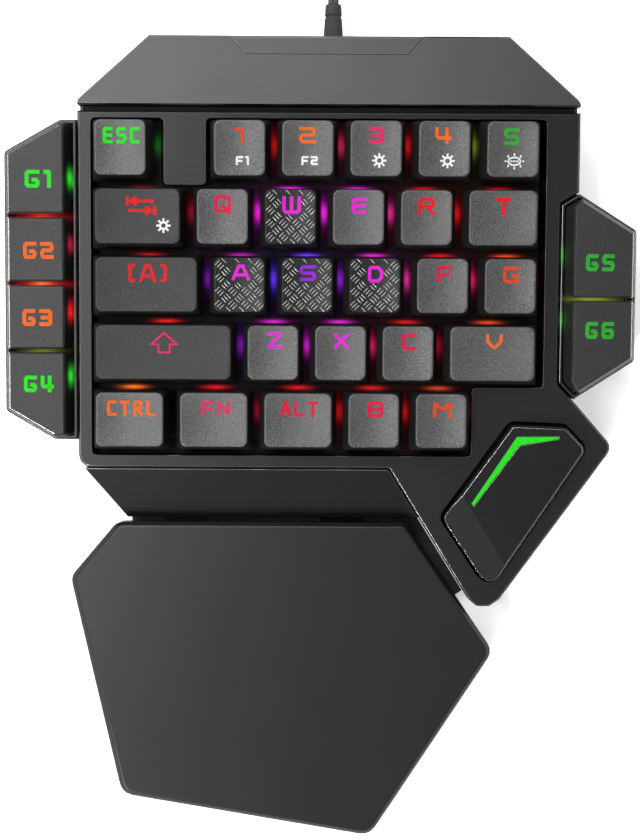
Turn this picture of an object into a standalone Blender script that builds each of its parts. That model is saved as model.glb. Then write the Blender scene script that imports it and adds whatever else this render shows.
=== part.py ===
"""A one-handed gaming keypad: 28 main keys, six macro keys, a thumb key and a pull-off wrist rest.

The deck, with its keys, switches and top covers, is drawn on a tilted plane: u runs to the right, v to
the rear and w up from the frame's top face. The case floor, the wrist rest, the feet and the cord are
drawn level with the table, in x, y and z from the same centre.
"""

import math

import bmesh
import bpy
from mathutils import Matrix, Vector

MM = 0.001

# Key field, in keyboard units
KEY_PITCH = 19.05 * MM
MAIN_ROWS = (
    (
        ("key_esc", 1.0),
        (None, 0.75),
        ("key_1", 1.0),
        ("key_2", 1.0),
        ("key_3", 1.0),
        ("key_4", 1.0),
        ("key_5", 1.0),
    ),
    (("key_tab", 1.5), ("key_q", 1.0), ("key_w", 1.0), ("key_e", 1.0), ("key_r", 1.0), ("key_t", 1.25)),
    (("key_caps", 1.75), ("key_a", 1.0), ("key_s", 1.0), ("key_d", 1.0), ("key_f", 1.0), ("key_g", 1.0)),
    (("key_shift", 2.25), ("key_z", 1.0), ("key_x", 1.0), ("key_c", 1.0), ("key_v", 1.5)),
    (("key_ctrl", 1.25), ("key_fn", 1.25), ("key_alt", 1.25), ("key_b", 1.0), ("key_m", 1.0)),
)
ROW_COUNT = len(MAIN_ROWS)
UNITS_ACROSS = sum(width for _, width in MAIN_ROWS[0])
SHORT_ROW_UNITS = sum(width for _, width in MAIN_ROWS[-1])
LEFT_MACRO_COUNT = 4
RIGHT_MACRO_COUNT = 2

# Deck and its height over the table
DECK_TILT = math.radians(5.0)
DECK_HEIGHT = 25.3 * MM
SEAM = 0.3 * MM
OVERRUN = 1.0 * MM
ARC_STEPS = 3

# Keycaps
CAP_GAP = 1.75 * MM
CAP_SIDE_DRAFT = 1.8 * MM
CAP_REAR_DRAFT = 0.9 * MM
CAP_FRONT_DRAFT = 1.7 * MM
CAP_HEIGHT = 9.8 * MM
CAP_SKIRT_DEPTH = 1.4 * MM
CAP_WALL = 1.1 * MM
CAP_ROOF = 1.5 * MM
CAP_BASE_RADIUS = 0.8 * MM
CAP_TOP_RADIUS = 1.9 * MM
CAP_EDGE_BEVEL = 0.45 * MM
CAP_DISH = 0.55 * MM
CAP_CORNER_STEPS = 2
CAP_MIDDLE_SHARES = (-0.42, 0.0, 0.42)
ROW_REAR_SHARES = (1.0, 0.93, 0.84, 0.80, 0.84)
ROW_FRONT_SHARES = (0.93, 0.87, 0.80, 0.82, 0.88)
KEY_TRAVEL = 3.7 * MM

# Switches
PLATE_DEPTH = 7.2 * MM
PLATE_THICKNESS = 1.5 * MM
BODY_SIDE = 14.0 * MM
FLANGE_SIDE = 14.4 * MM
FLANGE_RISE = 0.9 * MM
SHOULDER_SIDE = 13.6 * MM
HEAD_WIDTH = 10.6 * MM
HEAD_DEPTH = 11.2 * MM
HEAD_BELOW_DECK = 1.0 * MM
BODY_BELOW_PLATE = 5.3 * MM
SLIDER_WIDTH = 6.7 * MM
SLIDER_DEPTH = 5.0 * MM
SLIDER_REACH = 5.2 * MM
SLIDER_CLEARANCE = 0.3 * MM
WELL_SPARE = 0.4 * MM
STABILISER_OFFSET = 11.938 * MM
STABILISER_WIDTH = 4.6 * MM
STABILISER_DEPTH = 5.0 * MM
STABILISER_WALL = 1.4 * MM
STABILISER_RISE = 3.6 * MM

# Key well in the frame, measured from the outermost keycaps
WELL_GAP_LEFT = 0.4 * MM
WELL_GAP_RIGHT = 1.9 * MM
WELL_GAP_REAR = 0.6 * MM
WELL_GAP_FRONT = 1.7 * MM
WELL_GAP_STEP = 0.6 * MM
WELL_RADIUS = 1.3 * MM
WELL_WALL = 2.0 * MM
WELL_DRAFT = 1.3 * MM
BLOCK_GAP_LEFT = 3.0 * MM
BLOCK_GAP_RIGHT = 1.1 * MM

# Top frame
RAIL_LEFT = 3.8 * MM
RAIL_RIGHT = 9.4 * MM
RAIL_REAR = 1.9 * MM
RAIL_FRONT = 3.6 * MM
FRAME_WALL = 2.4 * MM
FRAME_ROOF = 2.2 * MM
FRAME_CORNER_RADIUS = 3.5 * MM
FRAME_EDGE = 0.5 * MM
LEDGE_DEPTH = 1.4 * MM
LEDGE_DROP = 2.6 * MM
LEDGE_END = 1.2 * MM

# Thumb panel, at the frame's right front corner
THUMB_PANEL_WIDTH = 64.2 * MM
THUMB_PANEL_OVERHANG = 10.9 * MM
THUMB_PANEL_RISE = 6.6 * MM
THUMB_TIP_ACROSS = 27.4 * MM
THUMB_TIP_FORWARD = 44.6 * MM
THUMB_TIP_RADIUS = 5.6 * MM
THUMB_CORNER_RADIUS = 3.0 * MM

# Thumb key and its light bar
THUMB_KEY_WIDTH = 40.5 * MM
THUMB_KEY_LENGTH = 47.4 * MM
THUMB_KEY_INSET = 8.2 * MM
THUMB_KEY_LIFT = 6.4 * MM
THUMB_KEY_SHARES = ((0.0, 0.4325), (0.336, 0.0), (1.0, 0.857), (0.852, 0.987), (0.479, 1.0))
THUMB_KEY_RADII = (2.2 * MM, 3.2 * MM, 2.4 * MM, 1.6 * MM, 1.8 * MM)
THUMB_KEY_CENTRE_SHARES = (0.505, 0.564)
THUMB_KEY_TURN = math.radians(-35.0)
THUMB_KEY_TOP = 4.1 * MM
THUMB_KEY_ROOF = 1.1 * MM
THUMB_KEY_GAP = 1.0 * MM
THUMB_KEY_BEVEL = 0.5 * MM
THUMB_FACET_DROP = 1.0 * MM
THUMB_FACET_SHARES = ((0.13, 0.585), (0.45, 0.14))
LIGHT_BAR_SHARES = (
    (0.20, 0.525),
    (0.212, 0.513),
    (0.53, 0.882),
    (0.802, 0.92),
    (0.802, 0.932),
    (0.513, 0.93),
)
LIGHT_BAR_THICKNESS = 1.0 * MM
LIGHT_BAR_GAP = 0.15 * MM
LIGHT_BAR_FLOOR = 0.5 * MM

# Macro wings
WING_END_ROOM = 7.35 * MM
LEFT_WING_WIDTH = 21.0 * MM
LEFT_WING_MIDDLE = 1.35 * MM
LEFT_WING_GAP_LINE = 0.6 * MM
LEFT_WING_SHARES = ((0.0, 0.0), (0.0, 1.0), (0.243, 1.0), (1.0, 0.901), (1.0, 0.089), (0.333, 0.0))
RIGHT_WING_WIDTH = 22.0 * MM
RIGHT_WING_END_ROOM = 10.6 * MM
RIGHT_WING_MIDDLE = -2.6 * MM
RIGHT_WING_GAP_LINE = -3.1 * MM
RIGHT_WING_STRAIGHT_SHARES = (0.193, 0.82)
NOTCH_DEPTH = 5.2 * MM
NOTCH_REAR = 3.1 * MM
NOTCH_FRONT = 4.8 * MM
NOTCH_FRONT_IN = 0.7 * MM
WING_RIM = 1.0 * MM
WING_DROP = 1.6 * MM
WING_RADIUS = 1.6 * MM
WING_RIM_BEVEL = 0.35 * MM
MACRO_SWITCH_OUT = 10.8 * MM
MACRO_GAP = 0.9 * MM
MACRO_RIM_GAP = 0.4 * MM
MACRO_TOP = 4.1 * MM
MACRO_ROOF = 1.1 * MM
MACRO_WALL = 1.0 * MM
MACRO_SKIRT_DEPTH = 2.4 * MM
MACRO_BEVEL = 0.6 * MM
MACRO_INNER_DRAFT = 1.5 * MM
MACRO_RADIUS = 0.8 * MM

# Rear cover and its bare inlay
GROOVE = 1.7 * MM
REAR_DEPTH = 21.8 * MM
REAR_SHOULDER = 3.1 * MM
REAR_CUT_LEFT = 19.9 * MM
REAR_CUT_RIGHT = 19.8 * MM
REAR_LIP = 2.2 * MM
REAR_RISE = 0.3 * MM
REAR_WALL = 2.0 * MM
REAR_CORNER_RADIUS = 2.2 * MM
INLAY_LEFT = 24.9 * MM
INLAY_RIGHT = 30.5 * MM
INLAY_DEPTH = 5.3 * MM
INLAY_SLANT = 4.6 * MM
INLAY_THICKNESS = 0.8 * MM

# Front apron
APRON_DEPTH = 15.0 * MM
APRON_LIP = 1.0 * MM
APRON_CUT_LEFT = 13.4 * MM
APRON_SHOULDER = 1.6 * MM
APRON_WALL = 2.0 * MM

# Bottom case
TUB_WALL = 1.8 * MM
FLOOR_HEIGHT = 1.6 * MM
FLOOR_THICKNESS = 2.0 * MM
PLATE_SIDE_GAP = 0.5 * MM
BOARD_SIDE_GAP = 1.5 * MM
BOARD_THICKNESS = 1.6 * MM
BOARD_FLOOR_GAP = 0.68 * MM
BOSS_RADIUS = 2.1 * MM
BOSS_HOLE_RADIUS = 2.8 * MM
BOSS_SIDES = 10
BOSS_COLUMN_SHARES = (-0.72, 0.62)
THUMB_BOSS_SHARES = (0.06, 0.62)

# Feet
FOOT_RADIUS = 5.0 * MM
FOOT_HEIGHT = FLOOR_HEIGHT - SEAM
FOOT_SIDES = 16
CASE_FEET_SHARES = {
    "case_foot_rear_left": (-0.67, 0.86),
    "case_foot_rear_right": (0.76, 0.86),
    "case_foot_front_left": (-0.76, -0.72),
    "case_foot_front_right": (0.665, -1.21),
}
REST_FOOT_WIDTH = 46.0 * MM
REST_FOOT_DEPTH = 8.0 * MM

# Wrist rest
REST_WIDTH = 122.7 * MM
REST_DEPTH = 91.8 * MM
REST_GAP = 1.2 * MM
REST_OFFSET = 9.1 * MM
REST_SHARES = ((0.0, 0.824), (0.121, 0.131), (0.711, 0.0), (1.0, 0.595), (0.792, 1.0), (0.111, 1.0))
REST_RADII = (4.0 * MM, 4.5 * MM, 4.5 * MM, 4.0 * MM, 3.0 * MM, 4.0 * MM)
REST_REAR_HEIGHT = 18.5 * MM
REST_FRONT_HEIGHT = 12.5 * MM
REST_SPLIT_HEIGHT = 8.0 * MM
REST_BEVEL = 1.3 * MM
REST_WALL = 2.2 * MM
REST_BASE_INSET = 0.6 * MM
REST_FOOT_SHARES = {"rest_foot_rear": (0.46, 0.82), "rest_foot_front": (0.42, 0.25)}
TONGUE_WIDTH = 12.0 * MM
TONGUE_HEIGHT = 2.4 * MM
TONGUE_REACH = 9.0 * MM
TONGUE_LIFT = 0.7 * MM
TONGUE_PLACES = (-38.0 * MM, 8.0 * MM)

# Cord: strain relief, short run, coil with its tie, and plug
CORD_DIAMETER = 3.1 * MM
CORD_SIDE_STEPS = 2
COIL_SIDE_STEPS = 1
EXIT_X = 4.9 * MM
EXIT_HEIGHT = 13.0 * MM
RELIEF_LENGTH = 10.7 * MM
RELIEF_BASE_RADIUS = 2.9 * MM
RELIEF_RING_RADIUS = 2.5 * MM
RELIEF_END_RADIUS = 2.3 * MM
RELIEF_RING_SHARE = 0.68
RELIEF_RING_DEPTH = 0.25 * MM
RELIEF_RING_WIDTH = 0.7 * MM
RELIEF_FLANGE_RADIUS = 4.4 * MM
RELIEF_FLANGE_WIDTH = 1.6 * MM
ROUND_SIDES = 14
COIL_TURNS = 11.25
COIL_LAYERS = 4
COIL_MEAN_RADIUS = 20.2 * MM
COIL_PITCH = 3.56 * MM
COIL_POINTS_A_TURN = 24
COIL_FROM_EXIT = 36.0 * MM
COIL_LEAD = 4.0 * MM
COIL_DRIFT = 1.4 * MM
CLIMB_TURNS = 0.5
TAIL_LENGTH = 15.0 * MM
TAIL_STEPS = 4
TIE_THICKNESS = 0.8 * MM
TIE_WIDTH = 5.0 * MM
TIE_GAP = 0.45 * MM
TIE_FLOOR_GAP = 0.05 * MM
RUN_SAG = 1.2 * MM
RUN_ROUTE_SHARES = (
    (0.0, 0.0, 0.0, 0.0),
    (0.0, 0.11, 0.0, 0.0),
    (0.22, 0.24, 0.05, 0.45),
    (0.6, 0.42, 0.25, 1.0),
    (0.9, 0.62, 0.65, 0.75),
    (1.0, 0.8, 0.95, 0.15),
    (1.0, 0.88, 1.0, 0.0),
    (1.0, 1.0, 1.0, 0.0),
)
RUN_POINTS_EACH = 2
GRIP_LENGTH = 30.0 * MM
GRIP_WIDTH = 15.6 * MM
GRIP_HEIGHT = 7.4 * MM
GRIP_RADIUS = 1.8 * MM
GRIP_NECK_WIDTH = 7.0 * MM
GRIP_NECK_SHARE = 0.3
SHELL_LENGTH = 12.0 * MM
SHELL_WIDTH = 12.0 * MM
SHELL_HEIGHT = 4.5 * MM
SHELL_WALL = 0.4 * MM
INSULATOR_HEIGHT = 1.9 * MM
INSULATOR_SIDE_GAP = 0.35 * MM
INSULATOR_SHORTER = 0.8 * MM

# Values worked out from the sizes above
FIELD_HALF_WIDTH = UNITS_ACROSS * KEY_PITCH / 2
FIELD_HALF_DEPTH = ROW_COUNT * KEY_PITCH / 2
CAP_MARGIN = CAP_GAP / 2
TUB_TOP = -PLATE_DEPTH
COVER_BOTTOM = -PLATE_DEPTH + SEAM
REAR_DROP = PLATE_DEPTH - REAR_LIP
APRON_DROP = PLATE_DEPTH - APRON_LIP
WELL_LEFT = -FIELD_HALF_WIDTH + CAP_MARGIN - WELL_GAP_LEFT
WELL_RIGHT = FIELD_HALF_WIDTH - CAP_MARGIN + WELL_GAP_RIGHT
WELL_REAR = FIELD_HALF_DEPTH - CAP_MARGIN + WELL_GAP_REAR
WELL_FRONT = -FIELD_HALF_DEPTH + CAP_MARGIN - WELL_GAP_FRONT
STEP_U = -FIELD_HALF_WIDTH + SHORT_ROW_UNITS * KEY_PITCH - CAP_MARGIN + WELL_GAP_STEP
STEP_V = -FIELD_HALF_DEPTH + KEY_PITCH
FRAME_LEFT = WELL_LEFT - RAIL_LEFT
FRAME_RIGHT = WELL_RIGHT + RAIL_RIGHT
FRAME_REAR = WELL_REAR + RAIL_REAR
FRAME_FRONT = WELL_FRONT - RAIL_FRONT
ELBOW = (FRAME_RIGHT + THUMB_PANEL_OVERHANG, FRAME_FRONT + THUMB_PANEL_RISE)
THUMB_START = (ELBOW[0] - THUMB_PANEL_WIDTH, FRAME_FRONT)
THUMB_TIP = (THUMB_START[0] + THUMB_TIP_ACROSS, THUMB_START[1] - THUMB_TIP_FORWARD)
LEFT_WING_LENGTH = LEFT_MACRO_COUNT * KEY_PITCH + 2 * WING_END_ROOM
RIGHT_WING_LENGTH = RIGHT_MACRO_COUNT * KEY_PITCH + 2 * RIGHT_WING_END_ROOM
RIGHT_WING_REAR = RIGHT_WING_MIDDLE + RIGHT_WING_LENGTH / 2
RIGHT_WING_FRONT = RIGHT_WING_MIDDLE - RIGHT_WING_LENGTH / 2
NOTCH_U = FRAME_RIGHT - NOTCH_DEPTH
REAR_FRONT = FRAME_REAR + GROOVE
REAR_EDGE = FRAME_REAR + REAR_DEPTH
APRON_FRONT = FRAME_FRONT - APRON_DEPTH
BOARD_TOP = -PLATE_DEPTH - BODY_BELOW_PLATE - SEAM
COIL_RADIAL_SPAN = COIL_TURNS / COIL_LAYERS * COIL_PITCH
COIL_OUTER = COIL_MEAN_RADIUS + COIL_RADIAL_SPAN / 2
COIL_BASE = TIE_FLOOR_GAP + TIE_THICKNESS + TIE_GAP + CORD_DIAMETER / 2


def deck_matrix():
    return Matrix.Translation((0, 0, DECK_HEIGHT)) @ Matrix.Rotation(DECK_TILT, 4, "X")


def w_at_height(z):
    """The w of a level plane at height z, as a function of u and v."""
    return lambda u, v: (z - DECK_HEIGHT - v * math.sin(DECK_TILT)) / math.cos(DECK_TILT)


def clear_scene():
    for item in list(bpy.data.objects):
        bpy.data.objects.remove(item)


def finish(name, colour, roughness, metallic=0.0):
    """A named plastic or metal finish."""
    material = bpy.data.materials.new(name)
    material.use_nodes = True
    shader = material.node_tree.nodes["Principled BSDF"]
    shader.inputs["Base Color"].default_value = (*colour, 1.0)
    shader.inputs["Roughness"].default_value = roughness
    shader.inputs["Metallic"].default_value = metallic
    return material


# Outlines: corners are (x, y, radius), counter-clockwise


def rounded(corners, steps=ARC_STEPS):
    """The points of a closed outline whose corners may be round."""
    points = []
    count = len(corners)
    for index, (x, y, radius) in enumerate(corners):
        here = Vector((x, y))
        if radius <= 0:
            points.append((x, y))
            continue
        back = (Vector(corners[index - 1][:2]) - here).normalized()
        ahead = (Vector(corners[(index + 1) % count][:2]) - here).normalized()
        half = back.angle(ahead) / 2
        centre = here + (back + ahead).normalized() * (radius / math.sin(half))
        start = here + back * (radius / math.tan(half)) - centre
        end = here + ahead * (radius / math.tan(half)) - centre
        first = math.atan2(start.y, start.x)
        turn = math.atan2(end.y, end.x) - first
        turn = (turn + math.pi) % math.tau - math.pi
        for step in range(steps + 1):
            angle = first + turn * step / steps
            points.append((centre.x + radius * math.cos(angle), centre.y + radius * math.sin(angle)))
    return points


def inset(corners, distance):
    """The outline moved inwards, with its round corners kept concentric."""
    result = []
    count = len(corners)
    for index, (x, y, radius) in enumerate(corners):
        here = Vector((x, y))
        before = (here - Vector(corners[index - 1][:2])).normalized()
        after = (Vector(corners[(index + 1) % count][:2]) - here).normalized()
        left = Vector((-before.y, before.x))
        right = Vector((-after.y, after.x))
        place = here + (left + right) * (distance / (1 + left.dot(right)))
        if radius > 0:
            radius = max(radius - distance if before.cross(after) > 0 else radius + distance, 0)
        result.append((place.x, place.y, radius))
    return result


def clipped(corners, low, high, radius=0):
    """The part of an outline between two y values, with this radius at the new corners."""
    for limit, side in ((low, 1), (high, -1)):
        kept = []
        for index, corner in enumerate(corners):
            last = corners[index - 1]
            inside = (corner[1] - limit) * side >= 0
            if inside != ((last[1] - limit) * side >= 0):
                share = (limit - last[1]) / (corner[1] - last[1])
                kept.append((last[0] + (corner[0] - last[0]) * share, limit, radius))
            if inside:
                kept.append(corner)
        corners = kept
    return corners


def rectangle(width, depth, radius=0, x=0, y=0):
    half_width = width / 2
    half_depth = depth / 2
    return [
        (x - half_width, y - half_depth, radius),
        (x + half_width, y - half_depth, radius),
        (x + half_width, y + half_depth, radius),
        (x - half_width, y + half_depth, radius),
    ]


def ellipse(radius_x, radius_y, sides):
    return [
        (radius_x * math.cos(math.tau * step / sides), radius_y * math.sin(math.tau * step / sides))
        for step in range(sides)
    ]


def well_corners(draft=0):
    """The key well, drawn in by the draft at its right side and at the block beside the first key."""
    block_right = -FIELD_HALF_WIDTH + (1 + MAIN_ROWS[0][1][1]) * KEY_PITCH + CAP_MARGIN - BLOCK_GAP_RIGHT
    block_left = -FIELD_HALF_WIDTH + KEY_PITCH - CAP_MARGIN + BLOCK_GAP_LEFT
    block_front = FIELD_HALF_DEPTH - KEY_PITCH
    return [
        (WELL_LEFT, WELL_FRONT, WELL_RADIUS),
        (STEP_U, WELL_FRONT, WELL_RADIUS),
        (STEP_U, STEP_V, WELL_RADIUS),
        (WELL_RIGHT - draft, STEP_V, WELL_RADIUS),
        (WELL_RIGHT - draft, WELL_REAR, WELL_RADIUS),
        (block_right, WELL_REAR, WELL_RADIUS),
        (block_right, block_front, WELL_RADIUS),
        (block_left - draft, block_front, WELL_RADIUS),
        (block_left - draft, WELL_REAR, WELL_RADIUS),
        (WELL_LEFT, WELL_REAR, WELL_RADIUS),
    ]


def thumb_key_corners():
    return [(*thumb_place(*shares), radius) for shares, radius in zip(THUMB_KEY_SHARES, THUMB_KEY_RADII)]


def thumb_place(across, along):
    """A place on the thumb key, by shares of its width and length."""
    left = ELBOW[0] - THUMB_KEY_INSET - THUMB_KEY_WIDTH
    front = ELBOW[1] + THUMB_KEY_LIFT - THUMB_KEY_LENGTH
    return (left + across * THUMB_KEY_WIDTH, front + along * THUMB_KEY_LENGTH)


def left_wing_corners(gap=0):
    """The left wing, starting at this gap from the frame's side."""
    front = LEFT_WING_MIDDLE - LEFT_WING_LENGTH / 2
    corners = []
    for across, along in LEFT_WING_SHARES:
        u = FRAME_LEFT - across * LEFT_WING_WIDTH - (gap if across == 0 else 0)
        corners.append((u, front + along * LEFT_WING_LENGTH, 0 if across == 0 else WING_RADIUS))
    return corners


def right_wing_corners(gap=0):
    """The right wing, whose inner side follows the frame's notch at this gap."""
    low_share, high_share = RIGHT_WING_STRAIGHT_SHARES
    outer = NOTCH_U + RIGHT_WING_WIDTH
    return [
        (NOTCH_U + gap, RIGHT_WING_FRONT + NOTCH_FRONT + gap, 0),
        (FRAME_RIGHT - NOTCH_FRONT_IN + gap, RIGHT_WING_FRONT + gap, 0),
        (outer, RIGHT_WING_FRONT + low_share * RIGHT_WING_LENGTH, WING_RADIUS),
        (outer, RIGHT_WING_FRONT + high_share * RIGHT_WING_LENGTH, WING_RADIUS),
        (FRAME_RIGHT + gap, RIGHT_WING_REAR - gap, 0),
        (NOTCH_U + gap, RIGHT_WING_REAR - NOTCH_REAR - gap, 0),
    ]


def frame_corners():
    return [
        (FRAME_LEFT, FRAME_REAR, 0),
        (FRAME_LEFT, FRAME_FRONT, FRAME_CORNER_RADIUS),
        (*THUMB_START, 0),
        (*THUMB_TIP, THUMB_TIP_RADIUS),
        (*ELBOW, THUMB_CORNER_RADIUS),
        (FRAME_RIGHT - NOTCH_FRONT_IN, RIGHT_WING_FRONT, 0),
        (NOTCH_U, RIGHT_WING_FRONT + NOTCH_FRONT, 0),
        (NOTCH_U, RIGHT_WING_REAR - NOTCH_REAR, 0),
        (FRAME_RIGHT, RIGHT_WING_REAR, 0),
        (FRAME_RIGHT, FRAME_REAR, 0),
    ]


def side_corners_left():
    """The left wing's outer corners, from rear to front, on the body's own outline."""
    return [corner for corner in left_wing_corners()[1:] if corner[0] < FRAME_LEFT] + [
        (FRAME_LEFT, left_wing_corners()[0][1], 0)
    ]


def body_corners(rear, front):
    """The outline of frame and wings together, with its rear and front edges at these v values."""
    wing_rear = LEFT_WING_MIDDLE + LEFT_WING_LENGTH / 2
    wing = right_wing_corners()
    return [
        (FRAME_LEFT, rear, 0),
        (FRAME_LEFT, wing_rear, 0),
        *side_corners_left(),
        (FRAME_LEFT, front, 0),
        (*thumb_line(front), 0),
        (*THUMB_TIP, THUMB_TIP_RADIUS),
        (*ELBOW, THUMB_CORNER_RADIUS),
        *wing[1:5],
        (FRAME_RIGHT, rear, 0),
    ]


def thumb_line(v):
    """The point at this v on the thumb panel's left edge, or on that edge run on to the rear."""
    slope = THUMB_TIP_ACROSS / THUMB_TIP_FORWARD
    return (THUMB_START[0] + (THUMB_START[1] - v) * slope, v)


def rear_corners():
    """The rear cover's outline."""
    shoulder = FRAME_REAR + REAR_SHOULDER
    return [
        (FRAME_LEFT, shoulder, REAR_CORNER_RADIUS),
        (FRAME_LEFT, REAR_FRONT, 0),
        (FRAME_RIGHT, REAR_FRONT, 0),
        (FRAME_RIGHT, shoulder, REAR_CORNER_RADIUS),
        (FRAME_RIGHT - REAR_CUT_RIGHT, REAR_EDGE, 0),
        (FRAME_LEFT + REAR_CUT_LEFT, REAR_EDGE, 0),
    ]


def apron_corners():
    """The apron's outline, from the frame's front edge to the case's front edge."""
    rear = FRAME_FRONT - SEAM
    right_rear = thumb_line(rear)[0] - SEAM
    right_front = thumb_line(APRON_FRONT)[0] - SEAM
    return [
        (FRAME_LEFT + APRON_SHOULDER, rear, 0),
        (FRAME_LEFT + APRON_CUT_LEFT, APRON_FRONT, 0),
        (right_front, APRON_FRONT, 0),
        (right_rear, rear, 0),
    ]


def tub_corners():
    """The bottom case's outline: the body with the rear cover's and the apron's edges."""
    rear = rear_corners()
    apron = apron_corners()
    wing_rear = LEFT_WING_MIDDLE + LEFT_WING_LENGTH / 2
    wing = right_wing_corners()
    return [
        rear[0],
        (FRAME_LEFT, wing_rear, 0),
        *side_corners_left(),
        (FRAME_LEFT, FRAME_FRONT + APRON_SHOULDER, 0),
        apron[1],
        (*thumb_line(APRON_FRONT), 0),
        (*THUMB_TIP, THUMB_TIP_RADIUS),
        (*ELBOW, THUMB_CORNER_RADIUS),
        *wing[1:5],
        *rear[3:],
    ]


def rest_corners():
    """The wrist rest's outline, level with the table."""
    left = -REST_OFFSET - REST_WIDTH / 2
    rear = apron_front_y() - REST_GAP
    return [
        (left + across * REST_WIDTH, rear - REST_DEPTH + along * REST_DEPTH, radius)
        for (across, along), radius in zip(REST_SHARES, REST_RADII)
    ]


def apron_front_y():
    """The y of the apron's front edge."""
    return APRON_FRONT * math.cos(DECK_TILT) + APRON_DROP * math.sin(DECK_TILT)


# Meshes


def level(value, x, y):
    return value(x, y) if callable(value) else value


def to_mesh(shape):
    bmesh.ops.recalc_face_normals(shape, faces=shape.faces)
    mesh = bpy.data.meshes.new("shape")
    shape.to_mesh(mesh)
    shape.free()
    return mesh


def loft(rings):
    """A closed solid through rings of equal counts, its first and last rings filled."""
    shape = bmesh.new()
    loops = [[shape.verts.new(point) for point in ring] for ring in rings]
    count = len(rings[0])
    for lower, upper in zip(loops, loops[1:]):
        for index in range(count):
            ahead = (index + 1) % count
            shape.faces.new((lower[index], lower[ahead], upper[ahead], upper[index]))
    shape.faces.new(loops[0][::-1])
    shape.faces.new(loops[-1])
    return to_mesh(shape)


def ring(corners, height, steps=ARC_STEPS):
    return [(x, y, level(height, x, y)) for x, y in rounded(corners, steps)]


def prism(corners, low, high, steps=ARC_STEPS):
    return loft([ring(corners, low, steps), ring(corners, high, steps)])


def block(width, depth, low, high, x=0, y=0):
    return prism(rectangle(width, depth, 0, x, y), low, high)


def turned(profile, sides=ROUND_SIDES):
    """A solid of revolution about y, through (radius, y) pairs."""
    return loft([[(x, y, z) for x, z in ellipse(radius, radius, sides)][::-1] for radius, y in profile])


def upright(radius, low, high, sides, x=0, y=0):
    """A round post or pad about z."""
    outline = [(x + along, y + across, 0) for along, across in ellipse(radius, radius, sides)]
    return prism(outline, low, high)


def gathered(meshes):
    """Several meshes as one."""
    shape = bmesh.new()
    for mesh in meshes:
        shape.from_mesh(mesh)
    result = bpy.data.meshes.new("shape")
    shape.to_mesh(result)
    shape.free()
    return result


def shifted(mesh, x=0, y=0, z=0, turn=0):
    """The mesh turned about z and then moved."""
    mesh.transform(Matrix.Translation((x, y, z)) @ Matrix.Rotation(turn, 4, "Z"))
    return mesh


def in_deck(mesh):
    """A mesh drawn level with the table, carried into the deck's own axes."""
    mesh.transform(deck_matrix().inverted())
    return mesh


def carved(mesh, joins=(), cuts=()):
    """The mesh with some shapes fused to it and then others cut from it."""
    scene = bpy.context.scene.collection
    body = bpy.data.objects.new("body", mesh)
    scene.objects.link(body)
    helpers = []
    for operation, shapes in (("UNION", joins), ("DIFFERENCE", cuts)):
        for shape in shapes:
            helper = bpy.data.objects.new("helper", shape)
            scene.objects.link(helper)
            modifier = body.modifiers.new(operation.title(), "BOOLEAN")
            modifier.operation = operation
            modifier.object = helper
            helpers.append(helper)
    bpy.context.view_layer.update()
    graph = bpy.context.evaluated_depsgraph_get()
    result = bpy.data.meshes.new_from_object(body.evaluated_get(graph))
    for item in (body, *helpers):
        bpy.data.objects.remove(item)
    return result


def place(name, mesh, material, parent, location=(0, 0, 0), smooth=False):
    """A named piece of the object."""
    if not mesh.materials:
        mesh.materials.append(material)
    if smooth:
        mesh.shade_smooth()
        mesh.set_sharp_from_angle(angle=math.radians(40.0))
    piece = bpy.data.objects.new(name, mesh)
    piece.parent = parent
    piece.location = location
    bpy.context.scene.collection.objects.link(piece)
    return piece


# Keys


def main_keys():
    """Each main key's name, row, centre and width in units."""
    keys = []
    for row, entries in enumerate(MAIN_ROWS):
        start = 0.0
        for name, width in entries:
            if name:
                u = (start + width / 2) * KEY_PITCH - FIELD_HALF_WIDTH
                keys.append((name, row, (u, FIELD_HALF_DEPTH - (row + 0.5) * KEY_PITCH), width))
            start += width
    return keys


def macro_bands():
    """Each macro key's name, side, and the v values of its front and rear."""
    bands = []
    for index in range(LEFT_MACRO_COUNT):
        high = LEFT_WING_GAP_LINE + (LEFT_MACRO_COUNT / 2 - index) * KEY_PITCH
        bands.append((f"macro_key_{index + 1}", "left", high - KEY_PITCH, high))
    for index in range(RIGHT_MACRO_COUNT):
        high = RIGHT_WING_GAP_LINE + (RIGHT_MACRO_COUNT / 2 - index) * KEY_PITCH
        bands.append((f"macro_key_{LEFT_MACRO_COUNT + index + 1}", "right", high - KEY_PITCH, high))
    return bands


def macro_centre(side, low, high):
    out = FRAME_LEFT - MACRO_SWITCH_OUT if side == "left" else NOTCH_U + MACRO_SWITCH_OUT
    return (out, (low + high) / 2)


def thumb_centre():
    return thumb_place(*THUMB_KEY_CENTRE_SHARES)


def cap_ring(width, depth, radius, middle, height):
    """A keycap's ring: nine points along the front from left to right, then nine back along the rear."""
    half = width / 2
    corner = [
        (math.cos(math.tau / 4 * step / CAP_CORNER_STEPS), math.sin(math.tau / 4 * step / CAP_CORNER_STEPS))
        for step in range(CAP_CORNER_STEPS + 1)
    ]
    side = [(-half + radius * (1 - across), radius * (1 - along)) for across, along in corner]
    side += [(half * share, 0) for share in CAP_MIDDLE_SHARES]
    side += [(-x, inwards) for x, inwards in reversed(side[: CAP_CORNER_STEPS + 1])]
    front = [(x, middle - depth / 2 + inwards) for x, inwards in side]
    rear = [(x, middle + depth / 2 - inwards) for x, inwards in reversed(side)]
    return [(x, y, level(height, x, y)) for x, y in front + rear]


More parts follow.
